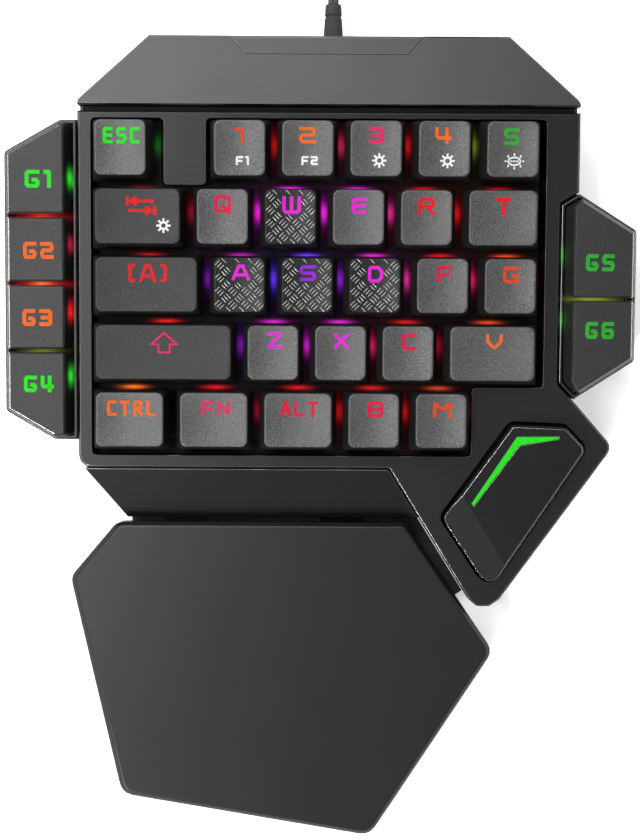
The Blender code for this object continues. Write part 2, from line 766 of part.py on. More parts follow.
def cap_solid(width, depth, row):
    """A keycap's outer form: a drafted skirt under a top that is dished from side to side."""
    top_width = width - 2 * CAP_SIDE_DRAFT
    top_depth = depth - CAP_REAR_DRAFT - CAP_FRONT_DRAFT
    middle = (CAP_FRONT_DRAFT - CAP_REAR_DRAFT) / 2
    rear = CAP_HEIGHT * ROW_REAR_SHARES[row] - CAP_SKIRT_DEPTH
    front = CAP_HEIGHT * ROW_FRONT_SHARES[row] - CAP_SKIRT_DEPTH

    def top(x, y):
        share = (y - middle) / top_depth + 0.5
        return front + (rear - front) * share - CAP_DISH * (1 - (2 * x / top_width) ** 2)

    def edge(x, y):
        return top(x, y) - CAP_EDGE_BEVEL

    wide = CAP_EDGE_BEVEL
    rings = [
        cap_ring(width, depth, CAP_BASE_RADIUS, 0, -CAP_SKIRT_DEPTH),
        cap_ring(top_width + wide, top_depth + wide, CAP_TOP_RADIUS, middle, edge),
        cap_ring(top_width, top_depth, CAP_TOP_RADIUS, middle, top),
    ]
    shape = bmesh.new()
    loops = [[shape.verts.new(point) for point in points] for points in rings]
    count = len(rings[0])
    for lower, upper in zip(loops, loops[1:]):
        for index in range(count):
            ahead = (index + 1) % count
            shape.faces.new((lower[index], lower[ahead], upper[ahead], upper[index]))
    shape.faces.new(loops[0][::-1])
    last = loops[-1]
    for index in range(count // 2 - 1):
        shape.faces.new((last[index], last[index + 1], last[count - 2 - index], last[count - 1 - index]))
    return to_mesh(shape), top


def keycap(width_units, row):
    """A hollow keycap with the switch slider that it is pressed onto."""
    width = width_units * KEY_PITCH - CAP_GAP
    depth = KEY_PITCH - CAP_GAP
    outer, top = cap_solid(width, depth, row)
    roof = min(top(0, -depth / 2), top(0, depth / 2)) - CAP_ROOF
    middle = (CAP_FRONT_DRAFT - CAP_REAR_DRAFT) / 2
    inner_width = width - 2 * CAP_SIDE_DRAFT - CAP_WALL
    inner_depth = depth - CAP_REAR_DRAFT - CAP_FRONT_DRAFT - CAP_WALL
    hollow = loft([
        ring(rectangle(width - 2 * CAP_WALL, depth - 2 * CAP_WALL), -CAP_SKIRT_DEPTH - OVERRUN),
        ring(rectangle(inner_width, inner_depth, 0, 0, middle), roof),
    ])
    shell = carved(outer, cuts=[hollow])
    sliders = [block(SLIDER_WIDTH, SLIDER_DEPTH, -SLIDER_REACH, roof + CAP_ROOF / 2)]
    if width_units > 2:
        sliders += stabiliser_sliders(roof + CAP_ROOF / 2)
    return carved(shell, joins=sliders)


def stabiliser_sliders(high):
    return [
        block(STABILISER_WIDTH, STABILISER_DEPTH, -SLIDER_REACH, high, side * STABILISER_OFFSET)
        for side in (-1, 1)
    ]


def macro_key_corners(side, low, high, inner_draft=0):
    """A macro key's outline inside its wing's rim."""
    wing = left_wing_corners(SEAM) if side == "left" else right_wing_corners(SEAM)
    room = inset(wing, WING_RIM + MACRO_RIM_GAP)
    ends = LEFT_MACRO_COUNT if side == "left" else RIGHT_MACRO_COUNT
    middle = LEFT_WING_GAP_LINE if side == "left" else RIGHT_WING_GAP_LINE
    at_front = low < middle - (ends - 1) / 2 * KEY_PITCH
    at_rear = high > middle + (ends - 1) / 2 * KEY_PITCH
    low_limit = -math.inf if at_front else low + MACRO_GAP / 2
    high_limit = math.inf if at_rear else high - MACRO_GAP / 2
    key = clipped(room, low_limit, high_limit, MACRO_RADIUS)
    inner = max(x for x, _, _ in key) if side == "left" else min(x for x, _, _ in key)
    draft = -inner_draft if side == "left" else inner_draft
    return [(x + draft if abs(x - inner) < SEAM else x, y, MACRO_RADIUS) for x, y, _ in key]


def macro_key(side, low, high):
    """A flat macro key with a slanted inner side, hollow below, with its slider."""
    centre = macro_centre(side, low, high)
    base = macro_key_corners(side, low, high)
    upper = macro_key_corners(side, low, high, MACRO_INNER_DRAFT)
    steps = CAP_CORNER_STEPS
    outer = loft([
        ring(base, -MACRO_SKIRT_DEPTH, steps),
        ring(upper, MACRO_TOP - MACRO_BEVEL, steps),
        ring(inset(upper, MACRO_BEVEL), MACRO_TOP, steps),
    ])
    roof = MACRO_TOP - MACRO_ROOF
    hollow = loft([
        ring([(x, y, 0) for x, y, _ in inset(base, MACRO_WALL)], -MACRO_SKIRT_DEPTH - OVERRUN),
        ring([(x, y, 0) for x, y, _ in inset(upper, MACRO_WALL)], roof),
    ])
    shell = carved(outer, cuts=[hollow])
    slider = block(SLIDER_WIDTH, SLIDER_DEPTH, -SLIDER_REACH, roof + MACRO_ROOF / 2, *centre)
    return shifted(carved(shell, joins=[slider]), -centre[0], -centre[1])


def thumb_key():
    """The large thumb key, with its drooped end facet and the groove of its light bar."""
    base = thumb_key_corners()
    roof = THUMB_KEY_TOP - THUMB_KEY_ROOF
    outer = loft([
        ring(base, -MACRO_SKIRT_DEPTH),
        ring(base, THUMB_KEY_TOP - THUMB_KEY_BEVEL),
        ring(inset(base, THUMB_KEY_BEVEL), THUMB_KEY_TOP),
    ])
    hollow = prism(inset(base, MACRO_WALL + THUMB_KEY_BEVEL), -MACRO_SKIRT_DEPTH - OVERRUN, roof)
    groove = prism(light_bar_corners(LIGHT_BAR_GAP), light_bar_floor(), THUMB_KEY_TOP + OVERRUN)
    seat_low = light_bar_floor() - LIGHT_BAR_FLOOR
    seat = prism(light_bar_corners(MACRO_WALL), seat_low, THUMB_KEY_TOP - THUMB_KEY_BEVEL)
    centre = thumb_centre()
    slider_top = roof + THUMB_KEY_ROOF / 2
    slider = block(SLIDER_WIDTH, SLIDER_DEPTH, -SLIDER_REACH, slider_top)
    sliders = gathered([slider, *stabiliser_sliders(slider_top)])
    shifted(sliders, *centre, turn=math.tau / 4 + THUMB_KEY_TURN)
    shell = carved(outer, cuts=[hollow, facet_cutter(base)])
    mesh = carved(shell, joins=[sliders, seat], cuts=[groove])
    return shifted(mesh, -centre[0], -centre[1])


def facet_cutter(corners):
    """A wedge that drops the thumb key's far end, past its fold line."""
    fold = Vector(thumb_place(*THUMB_FACET_SHARES[0]))
    along = (Vector(thumb_place(*THUMB_FACET_SHARES[1])) - fold).normalized()
    away = Vector((along.y, -along.x)) * math.copysign(1, -along.y)
    length = max((Vector(corner[:2]) - fold).dot(away) for corner in corners)

    def slope(x, y):
        return THUMB_KEY_TOP - THUMB_FACET_DROP * (Vector((x, y)) - fold).dot(away) / length

    outline = []
    for side, reach in ((-1, 0), (1, 0), (1, length + OVERRUN), (-1, length + OVERRUN)):
        spot = fold + along * (side * THUMB_KEY_LENGTH) + away * reach
        outline.append((spot.x, spot.y, 0))
    return prism(outline, slope, THUMB_KEY_TOP + OVERRUN)


def light_bar_corners(spread=0):
    corners = [(*thumb_place(across, along), 0) for across, along in LIGHT_BAR_SHARES]
    return inset(corners, -spread) if spread else corners


def light_bar_floor():
    return THUMB_KEY_TOP - LIGHT_BAR_THICKNESS - SEAM / 2


def light_bar():
    low = light_bar_floor() + SEAM / 2
    mesh = prism(light_bar_corners(), low, THUMB_KEY_TOP)
    centre = thumb_centre()
    return shifted(mesh, -centre[0], -centre[1])


# Switches, plate and circuit board


def switch_places():
    """Every switch's centre and turn, and whether its key is carried by stabilisers too."""
    places = [(centre, 0, width > 2) for _, _, centre, width in main_keys()]
    places += [(macro_centre(side, low, high), 0, False) for _, side, low, high in macro_bands()]
    return places + [(thumb_centre(), math.tau / 4 + THUMB_KEY_TURN, True)]


def switch_housing():
    plate_top = -PLATE_DEPTH
    inside = plate_top - SEAM
    flange_top = plate_top + FLANGE_RISE
    return loft([
        ring(rectangle(BODY_SIDE, BODY_SIDE), plate_top - BODY_BELOW_PLATE),
        ring(rectangle(BODY_SIDE, BODY_SIDE), inside),
        ring(rectangle(FLANGE_SIDE, FLANGE_SIDE), inside),
        ring(rectangle(FLANGE_SIDE, FLANGE_SIDE), flange_top),
        ring(rectangle(SHOULDER_SIDE, SHOULDER_SIDE), flange_top),
        ring(rectangle(HEAD_WIDTH, HEAD_DEPTH), -HEAD_BELOW_DECK),
    ])


def slider_well(width, depth, low, x=0):
    spare = 2 * SLIDER_CLEARANCE
    return block(width + spare, depth + spare, low, OVERRUN, x)


def stabiliser_housing(side):
    width = STABILISER_WIDTH + 2 * STABILISER_WALL
    depth = STABILISER_DEPTH + 2 * STABILISER_WALL
    low = -PLATE_DEPTH - BODY_BELOW_PLATE
    return block(width, depth, low, -PLATE_DEPTH + STABILISER_RISE, side * STABILISER_OFFSET)


def switch_plate():
    """The steel plate with the housings of all switches and stabilisers fixed in it."""
    spread = TUB_WALL + PLATE_SIDE_GAP
    outline = inset(body_corners(FRAME_REAR, FRAME_FRONT), spread)
    plate = prism(outline, -PLATE_DEPTH - PLATE_THICKNESS, -PLATE_DEPTH)
    bottom = -SLIDER_REACH - KEY_TRAVEL - WELL_SPARE
    housings = []
    wells = []
    for centre, turn, wide in switch_places():
        housings.append(shifted(switch_housing(), *centre, turn=turn))
        wells.append(shifted(slider_well(SLIDER_WIDTH, SLIDER_DEPTH, bottom), *centre, turn=turn))
        for side in (-1, 1) if wide else ():
            housings.append(shifted(stabiliser_housing(side), *centre, turn=turn))
            well = slider_well(STABILISER_WIDTH, STABILISER_DEPTH, bottom, side * STABILISER_OFFSET)
            wells.append(shifted(well, *centre, turn=turn))
    return carved(plate, joins=[gathered(housings)], cuts=[gathered(wells)])


def boss_places():
    """Where the case's screw posts stand, in the channels between the switches."""
    places = []
    for share in BOSS_COLUMN_SHARES:
        for rows in (-1, 1):
            places.append((share * FIELD_HALF_WIDTH, rows * 1.5 * KEY_PITCH))
    left_u = FRAME_LEFT - MACRO_SWITCH_OUT
    places.append((left_u, LEFT_WING_GAP_LINE + KEY_PITCH))
    places.append((left_u, LEFT_WING_GAP_LINE - KEY_PITCH))
    places.append((NOTCH_U + MACRO_SWITCH_OUT, RIGHT_WING_GAP_LINE))
    places.append(thumb_place(*THUMB_BOSS_SHARES))
    return places


def circuit_board():
    """The board under the switches, with holes for the posts, clear of the floor and the round tip."""
    spread = TUB_WALL + BOARD_SIDE_GAP
    outline = inset(body_corners(FRAME_REAR, FRAME_FRONT), spread)
    low = BOARD_TOP - BOARD_THICKNESS
    rise = FLOOR_HEIGHT + FLOOR_THICKNESS + BOARD_FLOOR_GAP - DECK_HEIGHT
    front = (rise - low * math.cos(DECK_TILT)) / math.sin(DECK_TILT)
    tip_round = THUMB_TIP[1] + 2 * THUMB_TIP_RADIUS
    outline = clipped(outline, max(front, tip_round), FRAME_REAR)
    board = prism(outline, low, BOARD_TOP)
    holes = [
        upright(BOSS_HOLE_RADIUS, low - OVERRUN, BOARD_TOP + OVERRUN, BOSS_SIDES, *spot)
        for spot in boss_places()
    ]
    return carved(board, cuts=[gathered(holes)])


# Housing


def top_frame():
    """The frame round the keys and the thumb key, with well walls that stand on the plate."""
    outline = frame_corners()
    thumb_well = inset(thumb_key_corners(), -THUMB_KEY_GAP)
    body = loft([
        ring(outline, COVER_BOTTOM),
        ring(outline, -FRAME_EDGE),
        ring(inset(outline, FRAME_EDGE), 0),
    ])
    hollow = carved(
        prism(inset(outline, FRAME_WALL), COVER_BOTTOM - OVERRUN, -FRAME_ROOF),
        cuts=[
            prism(inset(well_corners(WELL_DRAFT), -WELL_WALL), COVER_BOTTOM - 2 * OVERRUN, 0),
            prism(inset(thumb_well, -WELL_WALL), COVER_BOTTOM - 2 * OVERRUN, 0),
        ],
    )
    past = OVERRUN * WELL_DRAFT / PLATE_DEPTH
    key_well = loft([
        ring(well_corners(WELL_DRAFT + past), COVER_BOTTOM - OVERRUN),
        ring(well_corners(-past), OVERRUN),
    ])
    ledge = block(
        FRAME_RIGHT - FRAME_LEFT - 2 * LEDGE_END,
        LEDGE_DEPTH + RAIL_REAR / 2,
        COVER_BOTTOM,
        -LEDGE_DROP,
        (FRAME_RIGHT + FRAME_LEFT) / 2,
        FRAME_REAR + (LEDGE_DEPTH - RAIL_REAR / 2) / 2,
    )
    thumb_cut = prism(thumb_well, COVER_BOTTOM - OVERRUN, OVERRUN)
    return carved(body, joins=[ledge], cuts=[hollow, key_well, thumb_cut])


def rear_top(u, v):
    """The rear cover's sloping top."""
    share = (v - REAR_FRONT) / (REAR_EDGE - REAR_FRONT)
    return REAR_RISE - share * (REAR_DROP + REAR_RISE)


def inlay_corners(past):
    """The bare inlay in the rear cover, from its front edge to this far past the cover's edge."""
    front = REAR_EDGE - INLAY_DEPTH
    slant = INLAY_SLANT * (INLAY_DEPTH + past) / INLAY_DEPTH
    return [
        (-INLAY_LEFT + INLAY_SLANT, front, 0),
        (INLAY_RIGHT - INLAY_SLANT, front, 0),
        (INLAY_RIGHT - INLAY_SLANT + slant, REAR_EDGE + past, 0),
        (-INLAY_LEFT + INLAY_SLANT - slant, REAR_EDGE + past, 0),
    ]


def rear_cover():
    outline = rear_corners()

    def edge(u, v):
        return rear_top(u, v) - FRAME_EDGE

    def roof(u, v):
        return rear_top(u, v) - REAR_WALL

    def recess(u, v):
        return rear_top(u, v) - INLAY_THICKNESS - SEAM / 2

    def above(u, v):
        return rear_top(u, v) + OVERRUN

    body = loft([
        ring(outline, COVER_BOTTOM),
        ring(outline, edge),
        ring(inset(outline, FRAME_EDGE), rear_top),
    ])
    inner = inset([outline[1], outline[2], *outline[4:]], REAR_WALL)
    hollow = prism(inner, COVER_BOTTOM - OVERRUN, roof)
    return carved(body, cuts=[hollow, prism(inset(inlay_corners(OVERRUN), -LIGHT_BAR_GAP), recess, above)])


def rear_inlay():
    def low(u, v):
        return rear_top(u, v) - INLAY_THICKNESS

    return prism(inlay_corners(-FRAME_EDGE), low, rear_top)


def apron_top(u, v):
    share = (FRAME_FRONT - v) / APRON_DEPTH
    return -SEAM - share * (APRON_DROP - SEAM)


def front_apron():
    outline = apron_corners()

    def roof(u, v):
        return apron_top(u, v) - APRON_WALL

    body = prism(outline, COVER_BOTTOM, apron_top)
    hollow = prism(inset(outline, APRON_WALL), COVER_BOTTOM - OVERRUN, roof)
    return carved(body, cuts=[hollow])


def wing_cover(outline):
    """The rim round a wing's macro keys."""
    body = loft([
        ring(outline, COVER_BOTTOM),
        ring(outline, -WING_DROP - WING_RIM_BEVEL),
        ring(inset(outline, WING_RIM_BEVEL), -WING_DROP),
    ])
    opening = prism(inset(outline, WING_RIM), COVER_BOTTOM - OVERRUN, OVERRUN)
    return carved(body, cuts=[opening])


def bottom_case():
    """The tub: a level floor, walls up to the covers, screw posts and the wrist rest's slots."""
    outline = tub_corners()
    body = prism(outline, w_at_height(FLOOR_HEIGHT), TUB_TOP)
    inner_floor = w_at_height(FLOOR_HEIGHT + FLOOR_THICKNESS)
    hollow = prism(inset(outline, TUB_WALL), inner_floor, TUB_TOP + OVERRUN)
    post_top = -PLATE_DEPTH - PLATE_THICKNESS - SEAM
    post_foot = w_at_height(FLOOR_HEIGHT + FLOOR_THICKNESS / 2)
    posts = [upright(BOSS_RADIUS, post_foot, post_top, BOSS_SIDES, *spot) for spot in boss_places()]
    slots = [
        in_deck(block(
            TONGUE_WIDTH + 2 * SEAM,
            2 * TONGUE_REACH,
            tongue_low() - SEAM,
            tongue_low() + TONGUE_HEIGHT + SEAM,
            x,
            APRON_FRONT,
        ))
        for x in TONGUE_PLACES
    ]
    hole = in_deck(shifted(
        turned([(RELIEF_BASE_RADIUS + SEAM, -2 * TUB_WALL), (RELIEF_BASE_RADIUS + SEAM, 2 * TUB_WALL)]),
        EXIT_X,
        rear_wall_y(),
        EXIT_HEIGHT,
    ))
    tub = carved(body, cuts=[hollow])
    return carved(tub, joins=[gathered(posts)], cuts=[gathered(slots), hole])


def rear_wall_y():
    """The y of the case's rear wall at the cord's height."""
    w = w_at_height(EXIT_HEIGHT)(0, REAR_EDGE)
    return REAR_EDGE * math.cos(DECK_TILT) - w * math.sin(DECK_TILT)


def foot():
    return upright(FOOT_RADIUS, 0, FOOT_HEIGHT, FOOT_SIDES)


# Wrist rest


def tongue_low():
    return FLOOR_HEIGHT + FLOOR_THICKNESS + TONGUE_LIFT


def rest_top(x, y):
    corners = rest_corners()
    rear = max(corner[1] for corner in corners)
    share = (rear - y) / REST_DEPTH
    return REST_REAR_HEIGHT + (REST_FRONT_HEIGHT - REST_REAR_HEIGHT) * share


def wrist_rest_cover():
    outline = rest_corners()

    def edge(x, y):
        return rest_top(x, y) - REST_BEVEL

    def roof(x, y):
        return rest_top(x, y) - REST_WALL

    body = loft([
        ring(outline, REST_SPLIT_HEIGHT + SEAM),
        ring(outline, edge),
        ring(inset(outline, REST_BEVEL), rest_top),
    ])
    return carved(body, cuts=[prism(inset(outline, REST_WALL), REST_SPLIT_HEIGHT - OVERRUN, roof)])


def wrist_rest_base():
    """The rest's tray, with the two tongues that slide into the case."""
    outline = inset(rest_corners(), REST_BASE_INSET)
    rear = max(corner[1] for corner in outline)
    tray = prism(outline, FLOOR_HEIGHT, REST_SPLIT_HEIGHT)
    hollow = prism(inset(outline, REST_WALL), FLOOR_HEIGHT + FLOOR_THICKNESS, REST_SPLIT_HEIGHT + OVERRUN)
    start = rear - REST_WALL / 2
    tongues = [
        block(
            TONGUE_WIDTH,
            TONGUE_REACH,
            tongue_low(),
            tongue_low() + TONGUE_HEIGHT,
            x,
            start + TONGUE_REACH / 2,
        )
        for x in TONGUE_PLACES
    ]
    return carved(carved(tray, cuts=[hollow]), joins=[gathered(tongues)])


def rest_foot():
    return prism(rectangle(REST_FOOT_WIDTH, REST_FOOT_DEPTH, REST_FOOT_DEPTH / 2 - SEAM), 0, FOOT_HEIGHT)


# Cord


def strain_relief():
    """The moulded boot: a flange inside the wall, and a taper outside with one ring groove."""
    ring_at = RELIEF_LENGTH * RELIEF_RING_SHARE
    groove = RELIEF_RING_RADIUS - RELIEF_RING_DEPTH
    inside = -TUB_WALL - SEAM - RELIEF_FLANGE_RADIUS * math.sin(DECK_TILT)
    profile = [
        (RELIEF_FLANGE_RADIUS, inside - RELIEF_FLANGE_WIDTH),
        (RELIEF_FLANGE_RADIUS, inside),
        (RELIEF_BASE_RADIUS, inside),
        (RELIEF_BASE_RADIUS, SEAM),
        (RELIEF_RING_RADIUS, ring_at - RELIEF_RING_WIDTH),
        (groove, ring_at - RELIEF_RING_WIDTH / 2),
        (groove, ring_at),
        (RELIEF_RING_RADIUS, ring_at + RELIEF_RING_WIDTH / 2),
        (RELIEF_END_RADIUS, RELIEF_LENGTH),
    ]
    return turned(profile)


def smooth_route(route, each):
    """Points on a smooth curve through a hand-chosen route."""
    points = [Vector(point) for point in route]
    padded = [2 * points[0] - points[1], *points, 2 * points[-1] - points[-2]]
    result = []
    for index in range(1, len(padded) - 2):
        before, start, end, after = padded[index - 1 : index + 3]
        for step in range(each):
            t = step / each
            result.append(
                start
                + (end - before) * (t / 2)
                + (before * 2 - start * 5 + end * 4 - after) * (t * t / 2)
                + (start * 3 - before - end * 3 + after) * (t * t * t / 2)
            )
    return result + [points[-1]]


def tube(name, points, side_steps, material, parent, location):
    """A round cord along points, with flat ends."""
    curve = bpy.data.curves.new(name, "CURVE")
    curve.dimensions = "3D"
    curve.bevel_depth = CORD_DIAMETER / 2
    curve.bevel_resolution = side_steps
    curve.use_fill_caps = True
    spline = curve.splines.new("POLY")
    spline.points.add(len(points) - 1)
    for spot, point in zip(spline.points, points):
        spot.co = (*point, 1)
    curve.materials.append(material)
    piece = bpy.data.objects.new(name, curve)
    piece.parent = parent
    piece.location = location
    bpy.context.scene.collection.objects.link(piece)
    return piece


def coil_point(turns):
    """The coil's middle line after this many turns, from the top layer's outer side downwards."""
    layer_turns = COIL_TURNS / COIL_LAYERS
    phase = turns % (2 * layer_turns)
    inwards = layer_turns - abs(phase - layer_turns)
    radius = COIL_OUTER - inwards * COIL_PITCH
    drop = 0.0
    for layer in range(1, COIL_LAYERS):
        share = (turns - (layer * layer_turns - CLIMB_TURNS / 2)) / CLIMB_TURNS
        share = min(max(share, 0.0), 1.0)
        drop += share * share * (3 - 2 * share)
    angle = math.pi - math.tau * turns
    height = COIL_BASE + (COIL_LAYERS - 1 - drop) * COIL_PITCH
    return Vector((radius * math.cos(angle), radius * math.sin(angle), height))


def coil_points():
    """The coil from its straight lead to the straight tail that rises into the plug."""
    count = round(COIL_TURNS * COIL_POINTS_A_TURN)
    loops = [coil_point(index / COIL_POINTS_A_TURN) for index in range(count + 1)]
    lead = loops[0] - Vector((0, COIL_LEAD, 0))
    rise = GRIP_HEIGHT / 2 + TIE_FLOOR_GAP - COIL_BASE
    tail = []
    for step in range(1, TAIL_STEPS + 1):
        share = step / TAIL_STEPS
        tail.append(loops[-1] + Vector((share * TAIL_LENGTH, 0, rise * share * share * (3 - 2 * share))))
    straight = tail[-1] + Vector((CORD_DIAMETER, 0, 0))
    return [lead, *loops, *tail, straight]


def least_gap(points, diameter):
    """The least distance between stretches of a coil that are more than half a turn apart."""
    apart = COIL_POINTS_A_TURN // 2
    least = math.inf
    for index, point in enumerate(points):
        for other in points[index + apart :]:
            least = min(least, (point - other).length)
    return least - diameter


def coil_place():
    return (EXIT_X + COIL_DRIFT + COIL_OUTER, cord_start() + COIL_FROM_EXIT, 0)


def run_route():
    """The cord's way from the strain relief to the coil's lead, with its slight sag."""
    length = COIL_FROM_EXIT - COIL_LEAD - SEAM
    rise = COIL_BASE + (COIL_LAYERS - 1) * COIL_PITCH - EXIT_HEIGHT
    return [
        (across * COIL_DRIFT, along * length, up * rise - down * RUN_SAG)
        for across, along, up, down in RUN_ROUTE_SHARES
    ]


def cord_start():
    """The y where the cord leaves the strain relief."""
    return rear_wall_y() + RELIEF_LENGTH + SEAM


def cord_tie():
    """A flat band round the coil's bundle."""
    inner = COIL_OUTER - COIL_RADIAL_SPAN - CORD_DIAMETER / 2 - TIE_GAP
    outer = COIL_OUTER + CORD_DIAMETER / 2 + TIE_GAP
    low = COIL_BASE - CORD_DIAMETER / 2 - TIE_GAP
    high = COIL_BASE + (COIL_LAYERS - 1) * COIL_PITCH + CORD_DIAMETER / 2 + TIE_GAP
    middle = (inner + outer) / 2
    wide = outer - inner + 2 * TIE_THICKNESS
    body = block(wide, TIE_WIDTH, low - TIE_THICKNESS, high + TIE_THICKNESS, middle)
    return carved(body, cuts=[block(outer - inner, TIE_WIDTH + 2 * OVERRUN, low, high, middle)])


def plug_ring(width, height, x, radius):
    """A rounded ring across the plug at this x, level with its middle line."""
    return [(x, across, up) for across, up in rounded(rectangle(width, height, radius), CAP_CORNER_STEPS)]


def usb_grip():
    neck = GRIP_LENGTH * GRIP_NECK_SHARE
    neck_height = CORD_DIAMETER + 2 * SHELL_WALL
    return loft([
        plug_ring(GRIP_NECK_WIDTH, neck_height, 0, GRIP_RADIUS),
        plug_ring(GRIP_NECK_WIDTH, neck_height, neck / 2, GRIP_RADIUS),
        plug_ring(GRIP_WIDTH, GRIP_HEIGHT, neck, GRIP_RADIUS),
        plug_ring(GRIP_WIDTH, GRIP_HEIGHT, GRIP_LENGTH, GRIP_RADIUS),
    ])


def usb_shell():
    outer = loft([plug_ring(SHELL_WIDTH, SHELL_HEIGHT, x, 0) for x in (0, SHELL_LENGTH)])
    width = SHELL_WIDTH - 2 * SHELL_WALL
    height = SHELL_HEIGHT - 2 * SHELL_WALL
    inner = loft([plug_ring(width, height, x, 0) for x in (-OVERRUN, SHELL_LENGTH + OVERRUN)])
    return carved(outer, cuts=[inner])


def usb_insulator():
    width = SHELL_WIDTH - 2 * SHELL_WALL - 2 * INSULATOR_SIDE_GAP
    low = -SHELL_HEIGHT / 2 + SHELL_WALL + INSULATOR_SIDE_GAP
    length = SHELL_LENGTH - INSULATOR_SHORTER
    return shifted(block(length, width, low, low + INSULATOR_HEIGHT), length / 2)


def build_cord(root, finishes):
    """The strain relief, the cord's run and coil, its tie and its plug."""
    wall = rear_wall_y()
    cord = finishes["cord"]
    relief = strain_relief()
    place("strain_relief", relief, finishes["rubber"], root, (EXIT_X, wall, EXIT_HEIGHT), smooth=True)
    run = smooth_route(run_route(), RUN_POINTS_EACH)
    tube("cord_run", run, CORD_SIDE_STEPS, cord, root, (EXIT_X, cord_start(), EXIT_HEIGHT))
    points = coil_points()
    print("least gap in the coil, mm:", round(least_gap(points, CORD_DIAMETER) / MM, 3))
    centre = coil_place()
    tube("cord_coil", points, COIL_SIDE_STEPS, cord, root, centre)
    place("cord_tie", cord_tie(), finishes["rubber"], root, centre)
    end = points[-1] + Vector(centre)
    plug_x = end.x + SEAM
    place("usb_grip", usb_grip(), finishes["rubber"], root, (plug_x, end.y, end.z))
    shell_x = plug_x + GRIP_LENGTH + SEAM
    place("usb_shell", usb_shell(), finishes["nickel"], root, (shell_x, end.y, end.z))
    place("usb_insulator", usb_insulator(), finishes["rubber"], root, (shell_x, end.y, end.z))


def build_keys(deck, finishes):
    shapes = {}
    for name, row, centre, width in main_keys():
        if (width, row) not in shapes:
            shapes[(width, row)] = keycap(width, row)
        place(name, shapes[(width, row)], finishes["keycap"], deck, (*centre, 0))
    for name, side, low, high in macro_bands():
        centre = macro_centre(side, low, high)
        place(name, macro_key(side, low, high), finishes["keycap"], deck, (*centre, 0))
    place("thumb_key", thumb_key(), finishes["gloss"], deck, (*thumb_centre(), 0))
    place("thumb_light_bar", light_bar(), finishes["light"], deck, (*thumb_centre(), 0))


def build_housing(root, deck, finishes):
    place("top_frame", top_frame(), finishes["satin"], deck)
    place("rear_cover", rear_cover(), finishes["gloss"], deck)
    place("rear_inlay", rear_inlay(), finishes["gloss"], deck)
    place("front_apron", front_apron(), finishes["gloss"], deck)
    place("left_wing_cover", wing_cover(left_wing_corners(SEAM)), finishes["gloss"], deck)
    place("right_wing_cover", wing_cover(right_wing_corners(SEAM)), finishes["gloss"], deck)
    place("bottom_case", bottom_case(), finishes["satin"], deck)
    place("switch_plate", switch_plate(), finishes["switch"], deck)
    place("circuit_board", circuit_board(), finishes["board"], deck)
    for name, (across, along) in CASE_FEET_SHARES.items():
        spot = (across * FRAME_RIGHT, along * FIELD_HALF_WIDTH, 0)
        place(name, foot(), finishes["rubber"], root, spot, smooth=True)


def build_wrist_rest(root, finishes):
    place("wrist_rest_cover", wrist_rest_cover(), finishes["satin"], root)
    place("wrist_rest_base", wrist_rest_base(), finishes["satin"], root)
    left = min(corner[0] for corner in rest_corners())
    front = min(corner[1] for corner in rest_corners())
    for name, (across, along) in REST_FOOT_SHARES.items():
        spot = (left + across * REST_WIDTH, front + along * REST_DEPTH, 0)
        place(name, rest_foot(), finishes["rubber"], root, spot)


def make_finishes():
    return {
        "satin": finish("satin_black_plastic", (0.045, 0.045, 0.048), 0.42),
        "gloss": finish("gloss_black_plastic", (0.02, 0.02, 0.022), 0.18),
        "keycap": finish("keycap_plastic", (0.06, 0.06, 0.065), 0.5),
        "switch": finish("switch_plate_black", (0.02, 0.02, 0.02), 0.4),
        "board": finish("board_green", (0.01, 0.06, 0.03), 0.4),
        "rubber": finish("soft_black", (0.02, 0.02, 0.02), 0.75),
        "cord": finish("braided_cord", (0.05, 0.045, 0.045), 0.8),
        "nickel": finish("nickel", (0.7, 0.68, 0.64), 0.25, 1.0),
        "light": finish("light_guide", (0.1, 0.8, 0.2), 0.3),
    }


def stand_at_origin(root, cord_pieces):
    """Moves the whole object so that the middle of its box, without the cord, is over the origin."""
    bpy.context.view_layer.update()
    graph = bpy.context.evaluated_depsgraph_get()
    spots = []
    for piece in bpy.context.scene.objects:
        if piece.type == "MESH" and piece.name not in cord_pieces:
            mesh = piece.evaluated_get(graph).data
            spots += [piece.matrix_world @ vertex.co for vertex in mesh.vertices]
    for axis in range(2):
        values = [spot[axis] for spot in spots]
        root.location[axis] -= (min(values) + max(values)) / 2


def main():
    clear_scene()
    root = bpy.data.objects.new("keypad", None)
    deck = bpy.data.objects.new("deck", None)
    bpy.context.scene.collection.objects.link(root)
    bpy.context.scene.collection.objects.link(deck)
    deck.parent = root
    deck.location = (0, 0, DECK_HEIGHT)
    deck.rotation_euler = (DECK_TILT, 0, 0)
    finishes = make_finishes()
    build_keys(deck, finishes)
    build_housing(root, deck, finishes)
    build_wrist_rest(root, finishes)
    build_cord(root, finishes)
    cord_pieces = ("strain_relief", "cord_tie", "usb_grip", "usb_shell", "usb_insulator")
    stand_at_origin(root, cord_pieces)


if __name__ == "__main__":
    main()
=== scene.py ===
"""The looks of a one-handed gaming keypad: keycaps, lit legends, housings, cord and studio."""

import math

import bmesh
import bpy
import numpy as np
from bpy.props import FloatProperty, FloatVectorProperty, IntProperty, PointerProperty
from bpy.types import Operator, Panel, PropertyGroup
from mathutils import Matrix, Vector


